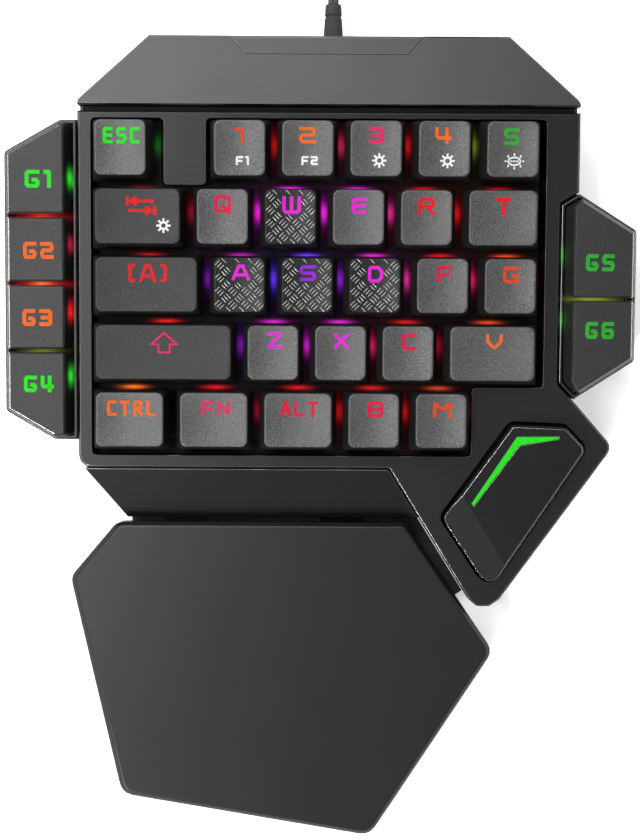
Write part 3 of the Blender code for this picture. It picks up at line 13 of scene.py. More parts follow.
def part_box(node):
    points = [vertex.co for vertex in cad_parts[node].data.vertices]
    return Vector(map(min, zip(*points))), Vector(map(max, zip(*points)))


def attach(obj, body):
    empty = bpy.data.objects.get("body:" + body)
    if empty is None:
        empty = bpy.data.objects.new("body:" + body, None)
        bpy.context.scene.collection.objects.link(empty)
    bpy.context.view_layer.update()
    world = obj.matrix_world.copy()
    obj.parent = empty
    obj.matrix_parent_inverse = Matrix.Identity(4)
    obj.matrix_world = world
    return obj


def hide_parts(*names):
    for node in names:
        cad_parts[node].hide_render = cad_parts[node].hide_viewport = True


bl_info = {
    "name": "Gaming keypad looks",
    "version": (1, 0, 0),
    "blender": (4, 5, 0),
    "location": "View3D > Sidebar > Keypad",
    "description": "Builds the visible surfaces of a one-handed gaming keypad over its packed model",
    "category": "Object",
}

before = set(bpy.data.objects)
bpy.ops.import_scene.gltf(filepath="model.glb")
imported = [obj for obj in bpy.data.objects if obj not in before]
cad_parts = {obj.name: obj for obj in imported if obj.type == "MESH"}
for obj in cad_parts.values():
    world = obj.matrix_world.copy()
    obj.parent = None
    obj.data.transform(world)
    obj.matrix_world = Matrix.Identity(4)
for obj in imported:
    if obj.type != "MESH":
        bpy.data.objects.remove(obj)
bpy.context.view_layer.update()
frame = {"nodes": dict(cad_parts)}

MM = 0.001

# The tilted deck, whose u runs right, v to the rear and w up
DECK_TILT = math.radians(5.0)
DECK_HEIGHT = 25.3 * MM
KEY_PITCH = 19.05 * MM
FIELD_HALF_WIDTH = 6.75 * KEY_PITCH / 2
FIELD_HALF_DEPTH = 5 * KEY_PITCH / 2

# Keycaps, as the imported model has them
MAIN_ROWS = (
    ("key_esc", "key_1", "key_2", "key_3", "key_4", "key_5"),
    ("key_tab", "key_q", "key_w", "key_e", "key_r", "key_t"),
    ("key_caps", "key_a", "key_s", "key_d", "key_f", "key_g"),
    ("key_shift", "key_z", "key_x", "key_c", "key_v"),
    ("key_ctrl", "key_fn", "key_alt", "key_b", "key_m"),
)
TREAD_KEYS = ("key_w", "key_a", "key_s", "key_d")
WIDE_KEYS = ("key_tab", "key_caps", "key_shift")
CAP_DEPTH = 17.3 * MM
CAP_SIDE_DRAFT = 1.8 * MM
CAP_REAR_DRAFT = 0.9 * MM
CAP_FRONT_DRAFT = 1.7 * MM
CAP_TOP_DEPTH = CAP_DEPTH - CAP_REAR_DRAFT - CAP_FRONT_DRAFT
CAP_HEIGHT = 9.8 * MM
CAP_SKIRT_DEPTH = 1.4 * MM
CAP_BASE_RADIUS = 0.8 * MM
CAP_TOP_RADIUS = 1.9 * MM
CAP_DISH = 0.55 * MM
CAP_MIDDLE = (CAP_FRONT_DRAFT - CAP_REAR_DRAFT) / 2
# A keycap's levels: 0 at its lower edge, 1 where its rim starts and 2 on its top
CAP_LEVELS = (0.0, 0.06, 0.16, 0.28, 0.42, 0.6, 0.8, 1.0, 1.3, 1.65, 2.0)
ROW_REAR_SHARES = (1.0, 0.93, 0.84, 0.80, 0.84)
ROW_FRONT_SHARES = (0.93, 0.87, 0.80, 0.82, 0.88)
SLIDER = (6.7 * MM, 5.0 * MM, 5.2 * MM)
MACRO_TOP = 4.1 * MM

# Cord
CORD_DIAMETER = 3.1 * MM
EXIT_X = 4.9 * MM
EXIT_HEIGHT = 13.0 * MM
SEAM = 0.3 * MM
COIL_TURNS = 11.25
COIL_LAYERS = 4
COIL_MEAN_RADIUS = 20.2 * MM
COIL_PITCH = 3.56 * MM
COIL_POINTS_A_TURN = 48
COIL_FROM_EXIT = 36.0 * MM
COIL_LEAD = 4.0 * MM
COIL_DRIFT = 1.4 * MM
COIL_BASE = 2.85 * MM
CLIMB_TURNS = 0.5
TAIL_LENGTH = 15.0 * MM
TAIL_RISE = 0.9 * MM
TAIL_STEPS = 8
RUN_SAG = 1.2 * MM
RUN_STEPS = 6
CORD_SIDES = 12
RUN_ROUTE_SHARES = (
    (0.0, 0.0, 0.0, 0.0),
    (0.0, 0.11, 0.0, 0.0),
    (0.22, 0.24, 0.05, 0.45),
    (0.6, 0.42, 0.25, 1.0),
    (0.9, 0.62, 0.65, 0.75),
    (1.0, 0.8, 0.95, 0.15),
    (1.0, 0.88, 1.0, 0.0),
    (1.0, 1.0, 1.0, 0.0),
)


def deck_origin():
    """The deck's middle at table level, read from where the corner key stands."""
    low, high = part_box("key_esc")
    u = KEY_PITCH / 2 - FIELD_HALF_WIDTH
    v = FIELD_HALF_DEPTH - KEY_PITCH / 2 - CAP_DEPTH / 2
    x = (low[0] + high[0]) / 2 - u
    y = low[1] - v * math.cos(DECK_TILT) - CAP_SKIRT_DEPTH * math.sin(DECK_TILT)
    return Vector((x, y, 0))


ORIGIN = deck_origin()
DECK = Matrix.Translation(ORIGIN + Vector((0, 0, DECK_HEIGHT))) @ Matrix.Rotation(DECK_TILT, 4, "X")
TO_DECK = DECK.inverted()


# Sizes and colours that a user would change


def length(name, description, millimetres):
    return FloatProperty(
        name=name, description=description, default=millimetres * MM, unit="LENGTH", precision=5
    )


def share(name, description, value):
    return FloatProperty(name=name, description=description, default=value, min=0.0, soft_max=2.0)


def colour(name, description, value):
    return FloatVectorProperty(
        name=name, description=description, default=value, size=3, subtype="COLOR", min=0, max=1
    )


def watts(name, description, value):
    return FloatProperty(name=name, description=description, default=value, unit="POWER")


class KeypadCapSizes(PropertyGroup):
    """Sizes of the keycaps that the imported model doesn't fix."""

    rim: length("Rim radius", "Radius of the rounded edge round a keycap's top", 0.55)
    bowl: length("Bowl", "How much deeper a keycap's dish is in its middle than at its ends", 0.45)
    wall: length("Wall", "Thickness of a keycap's wall", 1.1)
    roof: length("Roof", "Thickness of a keycap's top", 1.5)
    cell: length("Mesh step", "Distance between points on a keycap", 1.1)


class KeypadTreadSizes(PropertyGroup):
    """Sizes of the raised bars on the tread caps."""

    bar_length: length("Bar length", "Length of a raised bar", 1.9)
    bar_width: length("Bar width", "Width of a raised bar", 0.36)
    bar_rise: length("Bar rise", "Height of a raised bar over the keycap", 0.22)
    group: length("Group size", "Side of the square that one group of parallel bars fills", 2.62)
    bars_a_group: IntProperty(name="Bars", description="Parallel bars in each group", default=3, min=1)


class KeypadLegendSizes(PropertyGroup):
    """Sizes of the lit letters and signs."""

    stroke: share("Stroke width", "Width of a letter's stroke as a share of its height", 0.2)
    rise: length("Rise", "Height of a legend over the surface that it is printed on", 0.03)
    sink: length("Sink", "Depth of a legend under the surface that it is printed on", 0.02)
    step: length("Step", "Longest straight piece of a stroke over a curved top", 0.9)
    brightness: share("Brightness", "Strength of the lamps behind the legends", 0.95)


class KeypadGlowSizes(PropertyGroup):
    """How far and how strongly the key lamps light what is round them."""

    side: share("Side glow", "Strength of the light between keycaps of one row", 1.1)
    rear: share("Rear glow", "Strength of the light behind the keycaps", 1.0)
    wing: share("Wing glow", "Strength of the light round the macro keys", 0.9)
    haze: share("Haze", "Share of each lamp's light that spreads wide", 0.035)
    on_caps: share("Light on keycaps", "Share of the light that keycap skirts catch", 0.4)
    level: length("Level", "Height over the deck at which the light starts to fade", -1.5)
    fade: length("Fade", "Height over which the light fades", 2.0)


class KeypadEdgeSizes(PropertyGroup):
    """Radii of the housings' rounded edges."""

    frame: length("Frame", "Edge radius of the top frame", 0.6)
    cover: length("Covers", "Edge radius of the covers and the wings", 0.25)
    case: length("Case", "Edge radius of the bottom case", 0.3)
    key: length("Flat keys", "Edge radius of the macro keys and the thumb key", 0.22)
    rest: length("Wrist rest", "Edge radius of the wrist rest", 0.4)
    screw: length("Screw head", "Radius of a screw's head under the case", 2.3)


class KeypadFinishColours(PropertyGroup):
    """The plastics, metals and yarns."""

    keycap_dark: colour("Keycap, dark", "Darker specks of the keycaps", (0.010, 0.010, 0.0105))
    keycap_light: colour("Keycap, light", "Lighter specks of the keycaps", (0.056, 0.056, 0.057))
    # The widest keycaps are the same plastic as the others: their darker light specks are painted shade
    wide_dark: colour("Wide keycap, dark", "Darker specks of the widest keycaps", (0.010, 0.010, 0.0105))
    wide_light: colour("Wide keycap, light", "Lighter specks of the widest keycaps", (0.022, 0.022, 0.0225))
    # The skirt colour is far darker than the tops' plastic: painted shade on the keycaps' sides, whose
    # finish is also smoother
    skirt: colour("Keycap skirt", "Smooth sides of the keycaps", (0.006, 0.006, 0.006))
    tread_dark: colour("Tread cap", "Ground between the tread caps' bars", (0.003, 0.003, 0.003))
    tread_bar: colour("Tread bar", "Raised bars of the tread caps", (0.13, 0.13, 0.127))
    macro: colour("Flat key", "Macro keys", (0.007, 0.007, 0.0072))
    satin: colour("Satin shell", "Top frame and bottom case", (0.003, 0.003, 0.003))
    gloss: colour("Gloss shell", "Rear cover, wings, apron and thumb key", (0.0025, 0.0025, 0.0025))
    rest: colour("Wrist rest", "Wrist rest", (0.003, 0.003, 0.003))
    well: colour("Switch plate", "Switch plate and switch housings", (0.003, 0.003, 0.003))
    board: colour("Circuit board", "Circuit board's lacquer", (0.010, 0.062, 0.025))
    rubber: colour("Rubber", "Feet, strain relief, tie and plug grip", (0.018, 0.018, 0.018))
    metal: colour("Bright metal", "Plug shell and screws", (0.60, 0.58, 0.55))
    # Painted highlight: bright metal on the flat keys' rounded edges, standing in for the light that they
    # reflect
    edge_metal: colour("Bright edge", "Edge lines of the flat keys", (0.30, 0.29, 0.275))
    yarn: colour("Yarn", "Cord's braided sleeve", (0.055, 0.053, 0.055))


class KeypadLampColours(PropertyGroup):
    """Colours of the lamps behind legends and between keys."""

    green: colour("Green", "Green lamps", (0.02, 0.68, 0.015))
    deep_green: colour("Deep green", "Dimmer green lamps", (0.025, 0.34, 0.03))
    lime: colour("Lime", "Yellow-green lamps", (0.35, 0.45, 0.05))
    amber: colour("Amber", "Amber lamps", (0.90, 0.40, 0.06))
    orange: colour("Orange", "Orange lamps", (0.78, 0.13, 0.012))
    orange_red: colour("Orange red", "Orange-red lamps", (0.66, 0.055, 0.012))
    pink_red: colour("Pink red", "Pink-red lamps", (0.66, 0.018, 0.11))
    red: colour("Red", "Red lamps", (0.70, 0.006, 0.01))
    crimson: colour("Crimson", "Crimson lamps", (0.62, 0.008, 0.05))
    pink: colour("Pink", "Pink lamps", (0.80, 0.03, 0.30))
    magenta: colour("Magenta", "Magenta lamps", (0.70, 0.015, 0.60))
    violet: colour("Violet", "Violet lamps", (0.28, 0.015, 0.62))
    blue_violet: colour("Blue violet", "Blue-violet lamps", (0.12, 0.03, 0.80))
    white: colour("White", "White signs", (0.80, 0.80, 0.80))


class KeypadStudioSettings(PropertyGroup):
    """The camera and the studio's light."""

    lens: FloatProperty(name="Lens", description="Camera's focal length", default=77.55, unit="CAMERA")
    height: length("Camera height", "Height of the camera over the table", 540.4)
    turn: FloatProperty(name="Turn", description="Turn of the picture", default=0.0054, unit="ROTATION")
    ambient: share("Ambient", "Strength of the studio's even light", 0.12)
    left_power: watts("Left softbox", "Power of the tall softbox on the left", 5.8)
    rear_power: watts("Rear softbox", "Power of the softbox behind the object", 5.0)
    front_power: watts("Front softbox", "Power of the softbox in front", 7.0)
    edge_power: watts("Edge strips", "Power of each low strip light", 2.5)


def metres(values):
    """Millimetres as metres."""
    return [value * MM for value in values]


def settings(group):
    """One of the scene's groups of sizes or colours."""
    return getattr(bpy.context.scene, group)


# Places on the deck


def key_place(name):
    """A main key's centre on the deck, its width and its row."""
    low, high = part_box(name)
    row = next(index for index, names in enumerate(MAIN_ROWS) if name in names)
    u = (low[0] + high[0]) / 2 - ORIGIN.x
    v = FIELD_HALF_DEPTH - (row + 0.5) * KEY_PITCH
    return u, v, high[0] - low[0], row


def cap_top(width, row):
    """The height of a keycap's dished top, as a function of the place on it."""
    top_width = width - 2 * CAP_SIDE_DRAFT
    rear = CAP_HEIGHT * ROW_REAR_SHARES[row] - CAP_SKIRT_DEPTH
    front = CAP_HEIGHT * ROW_FRONT_SHARES[row] - CAP_SKIRT_DEPTH
    bowl = settings("keypad_caps").bowl

    def top(x, y):
        along = (y - CAP_MIDDLE) / CAP_TOP_DEPTH + 0.5
        across = max(0, 1 - (2 * x / top_width) ** 2)
        middle = max(0, 1 - (2 * along - 1) ** 2)
        return front + (rear - front) * along - CAP_DISH * across - bowl * middle * across

    return top


# Mesh helpers

# Edges that turn by more than this are rounded, and faces that turn by less are joined up
CREASE_ANGLE = math.radians(28)
FLAT_ANGLE = math.radians(0.8)
MERGE_DISTANCE = 1e-6
BEVEL_SEGMENTS = 3

# Edges that turn by more than this, in degrees, are shaded sharp: on pieces that are cut, on whole ones,
# on screws, on keycaps and on tubes and bars
CUT_SMOOTH = 34
PLAIN_SMOOTH = 30
SCREW_SMOOTH = 35
CAP_SMOOTH = 50
ROUND_SMOOTH = 60


def link(obj, body, slot, *replaced):
    """Puts a piece in the scene, riding its body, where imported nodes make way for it."""
    bpy.context.scene.collection.objects.link(obj)
    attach(obj, body)
    if replaced:
        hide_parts(*replaced)
    return obj


def object_from(shape, name, materials, smooth):
    """A mesh object from a bmesh, smooth but for edges sharper than the angle."""
    mesh = bpy.data.meshes.new(name)
    bmesh.ops.recalc_face_normals(shape, faces=shape.faces)
    shape.to_mesh(mesh)
    shape.free()
    mesh.shade_smooth()
    mesh.set_sharp_from_angle(angle=math.radians(smooth))
    for material in materials if isinstance(materials, tuple) else (materials,):
        mesh.materials.append(material)
    return bpy.data.objects.new(name, mesh)


def set_on_deck(shape, u=0.0, v=0.0):
    """Moves a shape from the scene's middle to a place on the deck."""
    bmesh.ops.transform(shape, matrix=DECK @ Matrix.Translation((u, v, 0)), verts=shape.verts)


def rounded_rectangle(width, depth, radius, middle=0.0, steps=5):
    points = []
    for corner, (sx, sy) in enumerate(((1, 1), (-1, 1), (-1, -1), (1, -1))):
        for step in range(steps + 1):
            angle = math.tau / 4 * (corner + step / steps)
            x = sx * (width / 2 - radius) + radius * math.cos(angle)
            y = sy * (depth / 2 - radius) + radius * math.sin(angle)
            points.append((x, y + middle))
    return points


def loft(shape, rings, closed=False):
    """Faces between rings of equal counts, with flat ends unless the rings close up."""
    loops = [[shape.verts.new(point) for point in ring] for ring in rings]
    faces = []
    for lower, upper in zip(loops, loops[1:] + (loops[:1] if closed else [])):
        for index, corner in enumerate(lower):
            ahead = (index + 1) % len(lower)
            faces.append(shape.faces.new((corner, lower[ahead], upper[ahead], upper[index])))
    if not closed:
        shape.faces.new(loops[0][::-1])
        shape.faces.new(loops[-1])
    return faces


def sliced(shape, axis, places):
    """Cuts a mesh by planes across one axis."""
    normal = Vector((axis == 0, axis == 1, axis == 2))
    for place in places:
        everything = shape.verts[:] + shape.edges[:] + shape.faces[:]
        bmesh.ops.bisect_plane(shape, geom=everything, dist=1e-7, plane_co=normal * place, plane_no=normal)


def evenly(low, high, cell):
    count = max(1, round((high - low) / cell))
    return [low + (high - low) * index / count for index in range(1, count)]


def around(place, step, below, above):
    """A place and others beside it, a step in millimetres apart."""
    return [place + count * step * MM for count in range(-below, above + 1)]


def rounded(shape, width, material_index):
    """Rounds a solid's sharp edges, before it is cut."""
    bmesh.ops.bevel(
        shape,
        geom=[edge for edge in shape.edges if edge.is_manifold and edge.calc_face_angle() > CREASE_ANGLE],
        offset=width,
        segments=BEVEL_SEGMENTS,
        profile=0.5,
        affect="EDGES",
        clamp_overlap=True,
        material=material_index,
    )


def refined(node_name, name, material, width, cuts=(), edge=None):
    """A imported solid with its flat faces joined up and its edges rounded, cut where light needs points."""
    shape = bmesh.new()
    shape.from_mesh(frame["nodes"][node_name].data)
    bmesh.ops.remove_doubles(shape, verts=shape.verts, dist=MERGE_DISTANCE)
    bmesh.ops.dissolve_limit(shape, angle_limit=FLAT_ANGLE, verts=shape.verts, edges=shape.edges[:])
    if cuts:
        if width:
            rounded(shape, width, 1 if edge else -1)
        bmesh.ops.transform(shape, matrix=TO_DECK, verts=shape.verts)
        for axis, places in enumerate(cuts):
            sliced(shape, axis, places)
        set_on_deck(shape)
    piece = object_from(shape, name, material, CUT_SMOOTH if cuts else PLAIN_SMOOTH)
    if edge:
        piece.data.materials.append(edge)
    if width and cuts:
        piece.modifiers.new("Flat faces", "WEIGHTED_NORMAL").keep_sharp = True
    elif width:
        bevel = piece.modifiers.new("Rounded edges", "BEVEL")
        bevel.width = width
        bevel.segments = BEVEL_SEGMENTS
        bevel.limit_method = "ANGLE"
        bevel.angle_limit = CREASE_ANGLE
        bevel.harden_normals = True
        bevel.use_clamp_overlap = True
        if edge:
            bevel.material = 1
    return piece


# Finishes

# Each finish: its dark colour, its light one or how many times lighter that is, its roughness, its grain's
# scale, depth in millimetres and strength, its specular level, and then its coat and its metallic value
FINISHES = {
    "keycap_grain": ("keycap_dark", "keycap_light", (0.32, 0.42), 2600, 0.2, 0.6, 0.35),
    # A darker copy of the keycap finish for the widest keycaps, as painted shade
    "wide_keycap_grain": ("wide_dark", "wide_light", (0.4, 0.5), 2600, 0.2, 0.6, 0.16),
    # The keycap skirt: a smoother finish, in a darker tone that is painted shade on the sides and inside
    "keycap_skirt": ("skirt", 1.3, (0.5, 0.6), 1500, 0.03, 0.2, 0.1),
    "tread_ground": ("tread_dark", 3.0, (0.35, 0.45), 2200, 0.12, 0.5, 0.15),
    "tread_bar": ("tread_bar", 1.3, (0.16, 0.26), 1800, 0.06, 0.3, 0.6, 0.0, 0.35),
    "macro_face": ("macro", 1.8, (0.36, 0.42), 2500, 0.22, 0.6, 0.21),
    "satin_shell": ("satin", 1.3, (0.31, 0.34), 2400, 0.04, 0.3, 0.2),
    "rear_satin": ("gloss", 1.3, (0.34, 0.38), 2000, 0.03, 0.3, 0.3),
    "apron_gloss": ("gloss", 1.3, (0.26, 0.29), 1500, 0.03, 0.2, 0.18),
    "gloss_shell": ("gloss", 1.3, (0.29, 0.32), 1500, 0.03, 0.2, 0.22),
    "thumb_face": ("gloss", 1.7, (0.33, 0.38), 2600, 0.1, 0.4, 0.14),
    "polished_edge": ("gloss", 1.3, (0.14, 0.2), 900, 0.01, 0.1, 1.0, 1.0),
    # Painted highlight on the flat keys' edges: a bright metal finish
    "bright_edge": ("edge_metal", 1.3, (0.16, 0.24), 900, 0.01, 0.1, 0.5, 0.0, 0.9),
    "rest_satin": ("rest", 1.3, (0.31, 0.33), 2600, 0.03, 0.3, 0.21),
    # The switch plate's own black, also used as painted shade in seams
    "well_black": ("well", 1.3, (0.45, 0.6), 1400, 0.05, 0.3, 0.06),
    "board_lacquer": ("board", 1.3, (0.3, 0.45), 900, 0.04, 0.3, 0.4, 0.2),
    "soft_rubber": ("rubber", 1.7, (0.62, 0.78), 1200, 0.15, 0.4, 0.25),
    "bright_metal": ("metal", 1.3, (0.18, 0.32), 700, 0.02, 0.2, 0.5, 0.0, 1.0),
}
GLOWING_FINISHES = (
    "keycap_grain",
    "wide_keycap_grain",
    "keycap_skirt",
    "tread_ground",
    "macro_face",
    "gloss_shell",
    "well_black",
)
DRIFT_SCALE = 55
COAT_ROUGHNESS = 0.1
NOISE_LOW = 0.3
NOISE_HIGH = 0.7

# The braid: how often a yarn goes round in one pattern's length, and that length
YARNS_ROUND = 6.0
BRAID_LENGTH = 2.0 * MM


def feed(tree, target, inputs):
    """Links sockets to a node's inputs, and sets the inputs that are given as values."""
    for key, value in inputs.items():
        if isinstance(value, bpy.types.NodeSocket):
            tree.links.new(value, target.inputs[key])
        else:
            target.inputs[key].default_value = value


def node(tree, kind, inputs=None, **values):
    made = tree.nodes.new(kind)
    for key, value in values.items():
        setattr(made, key, value)
    feed(tree, made, inputs or {})
    return made


def math_node(tree, operation, *numbers):
    return node(tree, "ShaderNodeMath", dict(enumerate(numbers)), operation=operation).outputs[0]


def material_base(name):
    material = bpy.data.materials.new(name)
    material.use_nodes = True
    tree = material.node_tree
    shader = tree.nodes["Principled BSDF"]
    spot = node(tree, "ShaderNodeTexCoord").outputs["Object"]
    return material, tree, shader, spot


def varied(tree, vector, scale, low, high, detail=3.0):
    """A number that drifts between low and high over the surface."""
    noise = node(tree, "ShaderNodeTexNoise", {"Vector": vector, "Scale": scale, "Detail": detail})
    ranges = {"From Min": NOISE_LOW, "From Max": NOISE_HIGH, "To Min": low, "To Max": high}
    return node(tree, "ShaderNodeMapRange", {"Value": noise.outputs["Fac"], **ranges}).outputs["Result"]


def blended(tree, factor, first, second):
    inputs = {"Factor": factor, "A": (*first, 1), "B": (*second, 1)}
    return node(tree, "ShaderNodeMix", inputs, data_type="RGBA").outputs["Result"]


def bumped(tree, height, distance, strength):
    bump = node(tree, "ShaderNodeBump", {"Height": height, "Distance": distance, "Strength": strength})
    return bump.outputs["Normal"]


def moulded(name, dark, light, rough, grain, depth, strength, specular, coat=0.0, metallic=0.0):
    """A material with a drifting tone and roughness, and a grain whose depth is in millimetres."""
    material, tree, shader, spot = material_base(name)
    noise = node(tree, "ShaderNodeTexNoise", {"Vector": spot, "Scale": grain, "Detail": 4.0})
    inputs = {
        "Base Color": blended(tree, varied(tree, spot, grain, 0, 1), dark, light),
        "Roughness": varied(tree, spot, DRIFT_SCALE, *rough),
        "Normal": bumped(tree, noise.outputs["Fac"], depth * MM, strength),
        "Metallic": metallic,
        "Specular IOR Level": specular,
        "Coat Weight": coat,
        "Coat Roughness": COAT_ROUGHNESS,
    }
    feed(tree, shader, inputs)
    return material


def glowing(material):
    """Adds the light that falls on a surface from the key lamps, held in its glow colours."""
    tree = material.node_tree
    shader = tree.nodes["Principled BSDF"]
    glow = node(tree, "ShaderNodeVertexColor", layer_name="glow")
    feed(tree, shader, {"Emission Color": glow.outputs["Color"], "Emission Strength": 1.0})
    return material


def near(value, factor):
    """A colour's tone at so many times its brightness."""
    return tuple(min(channel * factor, 1.0) for channel in value)


def finish(name):
    """One of the keypad's finishes, made when it is first asked for."""
    if name in bpy.data.materials:
        return bpy.data.materials[name]
    paint = settings("keypad_finishes")
    if name == "braided_sleeve":
        return braid(name, paint.yarn)
    dark_name, light, *surface = FINISHES[name]
    dark = getattr(paint, dark_name)
    light = getattr(paint, light) if isinstance(light, str) else near(dark, light)
    material = moulded(name, dark, light, *surface)
    return glowing(material) if name in GLOWING_FINISHES else material


def braid(name, yarn):
    """A woven sleeve, laid out by the tube's own length and girth."""
    material, tree, shader, spot = material_base(name)
    uv = node(tree, "ShaderNodeUVMap", uv_map="UVMap").outputs["UV"]
    parts = node(tree, "ShaderNodeSeparateXYZ", {"Vector": uv})
    waves = []
    for sign in (1, -1):
        turn = math_node(tree, "MULTIPLY", parts.outputs["Y"], YARNS_ROUND * sign)
        angle = math_node(tree, "MULTIPLY", math_node(tree, "ADD", parts.outputs["X"], turn), math.tau)
        waves.append(math_node(tree, "SINE", angle))
    height = math_node(tree, "MAXIMUM", *waves)
    shade = node(tree, "ShaderNodeMapRange", {"Value": height, "From Min": -0.4, "From Max": 1.0})
    inputs = {
        "Base Color": blended(tree, shade.outputs["Result"], near(yarn, 0.15), yarn),
        "Roughness": varied(tree, spot, 800, 0.6, 0.8),
        "Normal": bumped(tree, height, 0.3 * MM, 0.8),
    }
    feed(tree, shader, inputs)
    return material


def lamp_face(colour_name):
    """A translucent legend or light guide with a lamp of that colour behind it."""
    name = f"lit_{colour_name}"
    if name in bpy.data.materials:
        return bpy.data.materials[name]
    material, tree, shader, spot = material_base(name)
    value = getattr(settings("keypad_lamps"), colour_name)
    tone = varied(tree, spot, 900, 0, 1, detail=1.0)
    inputs = {
        "Emission Color": blended(tree, tone, near(value, 0.78), value),
        "Emission Strength": settings("keypad_legends").brightness,
        "Base Color": (*near(value, 0.12), 1),
        "Roughness": 0.5,
        "Specular IOR Level": 0.08,
    }
    feed(tree, shader, inputs)
    return material


# Light from the key lamps, which leaks out beside and behind the keys: colour and strength

SIDE_LAMPS = {
    "key_esc": ("deep_green", 0.25),
    "key_1": ("red", 0.6),
    "key_2": ("pink_red", 0.7),
    "key_3": ("red", 0.65),
    "key_4": ("lime", 0.3),
    "key_tab": ("crimson", 0.35),
    "key_q": ("magenta", 1.1),
    "key_w": ("magenta", 1.2),
    "key_e": ("pink", 0.8),
    "key_r": ("red", 0.8),
    "key_caps": ("violet", 0.5),
    "key_a": ("blue_violet", 1.0),
    "key_s": ("violet", 0.8),
    "key_d": ("pink", 0.8),
    "key_f": ("pink_red", 0.75),
    "key_g": ("red", 0.25),
    "key_shift": ("violet", 0.55),
    "key_z": ("magenta", 0.7),
    "key_x": ("pink_red", 0.7),
    "key_c": ("crimson", 0.35),
    "key_fn": ("crimson", 0.3),
    "key_alt": ("red", 0.6),
    "key_b": ("red", 0.6),
    "key_m": ("crimson", 0.3),
}
REAR_LAMPS = {
    "key_tab": ("red", 0.3),
    "key_w": ("magenta", 1.4),
    "key_e": ("magenta", 1.1),
    "key_r": ("red", 1.1),
    "key_t": ("red", 0.8),
    "key_caps": ("red", 0.7),
    "key_a": ("magenta", 0.8),
    "key_s": ("blue_violet", 1.4),
    "key_d": ("magenta", 1.3),
    "key_f": ("red", 1.2),
    "key_g": ("orange_red", 1.3),
    "key_shift": ("red", 1.4),
    "key_z": ("magenta", 1.1),
    "key_x": ("magenta", 1.1),
    "key_c": ("red", 1.1),
    "key_v": ("orange_red", 1.3),
    "key_ctrl": ("orange", 1.5),
    "key_fn": ("red", 1.2),
    "key_alt": ("red", 1.2),
    "key_b": ("red", 1.1),
    "key_m": ("orange_red", 1.0),
}
SIDE_LAMP_AHEAD = 2.1 * MM
REAR_LAMP_AHEAD = 8.9 * MM
SIDE_SPREAD = (0.85 * MM, 2.4 * MM)
REAR_SPREAD = (3.0 * MM, 0.5 * MM)
HAZE_SPREAD = (7.0 * MM, 7.0 * MM)
WING_LEVEL = 0.5 * MM
WING_FADE = 2.2 * MM

# The gaps between the wings' keys and the frame, in millimetres across the deck
LEFT_GAP = -69.8
RIGHT_GAP = 70.5

# The wings' lamps: place and spread in millimetres, colour and strength
WING_LAMPS = (
    ((LEFT_GAP, 30.2), (0.5, 2.1), "green", 1.3),
    ((LEFT_GAP, 11.6), (0.45, 1.8), "crimson", 0.9),
    ((LEFT_GAP, -7.4), (0.5, 2.2), "red", 1.5),
    ((LEFT_GAP, -25.8), (0.5, 2.1), "green", 1.3),
    ((-78.4, 19.3), (5.5, 0.9), "red", 1.3),
    ((-78.4, 19.3), (2.2, 0.6), "orange", 0.8),
    ((-78.5, 0.3), (6.0, 0.9), "red", 1.4),
    ((-78.5, 0.3), (2.2, 0.6), "amber", 1.0),
    ((-78.6, -18.6), (4.5, 0.7), "lime", 0.6),
    ((RIGHT_GAP, 9.2), (0.6, 2.2), "green", 0.5),
    ((RIGHT_GAP, -9.0), (0.6, 2.2), "green", 0.7),
    ((79.5, -3.1), (6.0, 0.8), "lime", 0.8),
)


def lamp_row(spot, spread, colour_name, strength):
    """A lamp's place on the deck, its spread both ways and its light's three channels."""
    light = getattr(settings("keypad_lamps"), colour_name)
    return (*spot, *spread, *(channel * strength for channel in light))


def key_rows():
    """The key lamps, each with a wide haze round it where it shines beside its cap."""
    sizes = settings("keypad_glow")
    rows = []
    for name, (colour_name, strength) in SIDE_LAMPS.items():
        u, v, width, _ = key_place(name)
        spot = (u + width / 2 + (KEY_PITCH - CAP_DEPTH) / 2, v + SIDE_LAMP_AHEAD)
        rows.append(lamp_row(spot, SIDE_SPREAD, colour_name, strength * sizes.side))
        rows.append(lamp_row(spot, HAZE_SPREAD, colour_name, strength * sizes.haze))
    for name, (colour_name, strength) in REAR_LAMPS.items():
        u, v, _, _ = key_place(name)
        rows.append(lamp_row((u, v + REAR_LAMP_AHEAD), REAR_SPREAD, colour_name, strength * sizes.rear))
    return np.array(rows)


def wing_rows():
    """The lamps round the macro keys."""
    wing = settings("keypad_glow").wing
    rows = []
    for spot, spread, colour_name, strength in WING_LAMPS:
        rows.append(lamp_row(metres(spot), metres(spread), colour_name, strength * wing))
    return np.array(rows)


def paint_glow(obj, rows, level, fade):
    """Stores the lamps' light on a piece's points: full below the level, and fading over it."""
    mesh = obj.data
    points = np.empty(len(mesh.vertices) * 3)
    mesh.vertices.foreach_get("co", points)
    spots = points.reshape(-1, 3) @ np.array(TO_DECK.to_3x3()).T + np.array(TO_DECK.translation)
    across = (spots[:, None, 0] - rows[None, :, 0]) / rows[None, :, 2]
    along = (spots[:, None, 1] - rows[None, :, 1]) / rows[None, :, 3]
    above = np.maximum(spots[:, 2] - level, 0) / fade
    colours = (np.exp(-(across * across + along * along)) @ rows[:, 4:]) * np.exp(-above * above)[:, None]
    values = np.ones((len(spots), 4))
    values[:, :3] = colours
    layer = mesh.color_attributes.new("glow", "FLOAT_COLOR", "POINT")
    layer.data.foreach_set("color", values.ravel())


def paint_key_glow(obj):
    sizes = settings("keypad_glow")
    rows = key_rows()
    rows[:, 4:] *= sizes.on_caps
    paint_glow(obj, rows, sizes.level, sizes.fade)


def paint_wing_glow(obj):
    paint_glow(obj, wing_rows(), WING_LEVEL, WING_FADE)


# Keycaps

# How far a rim bulges, as a share of its radius, and the slider's corner radius and its hold in the roof
RIM_BULGE = 0.62
SLIDER_RADIUS = 0.4 * MM
OVERLAP = 0.05 * MM


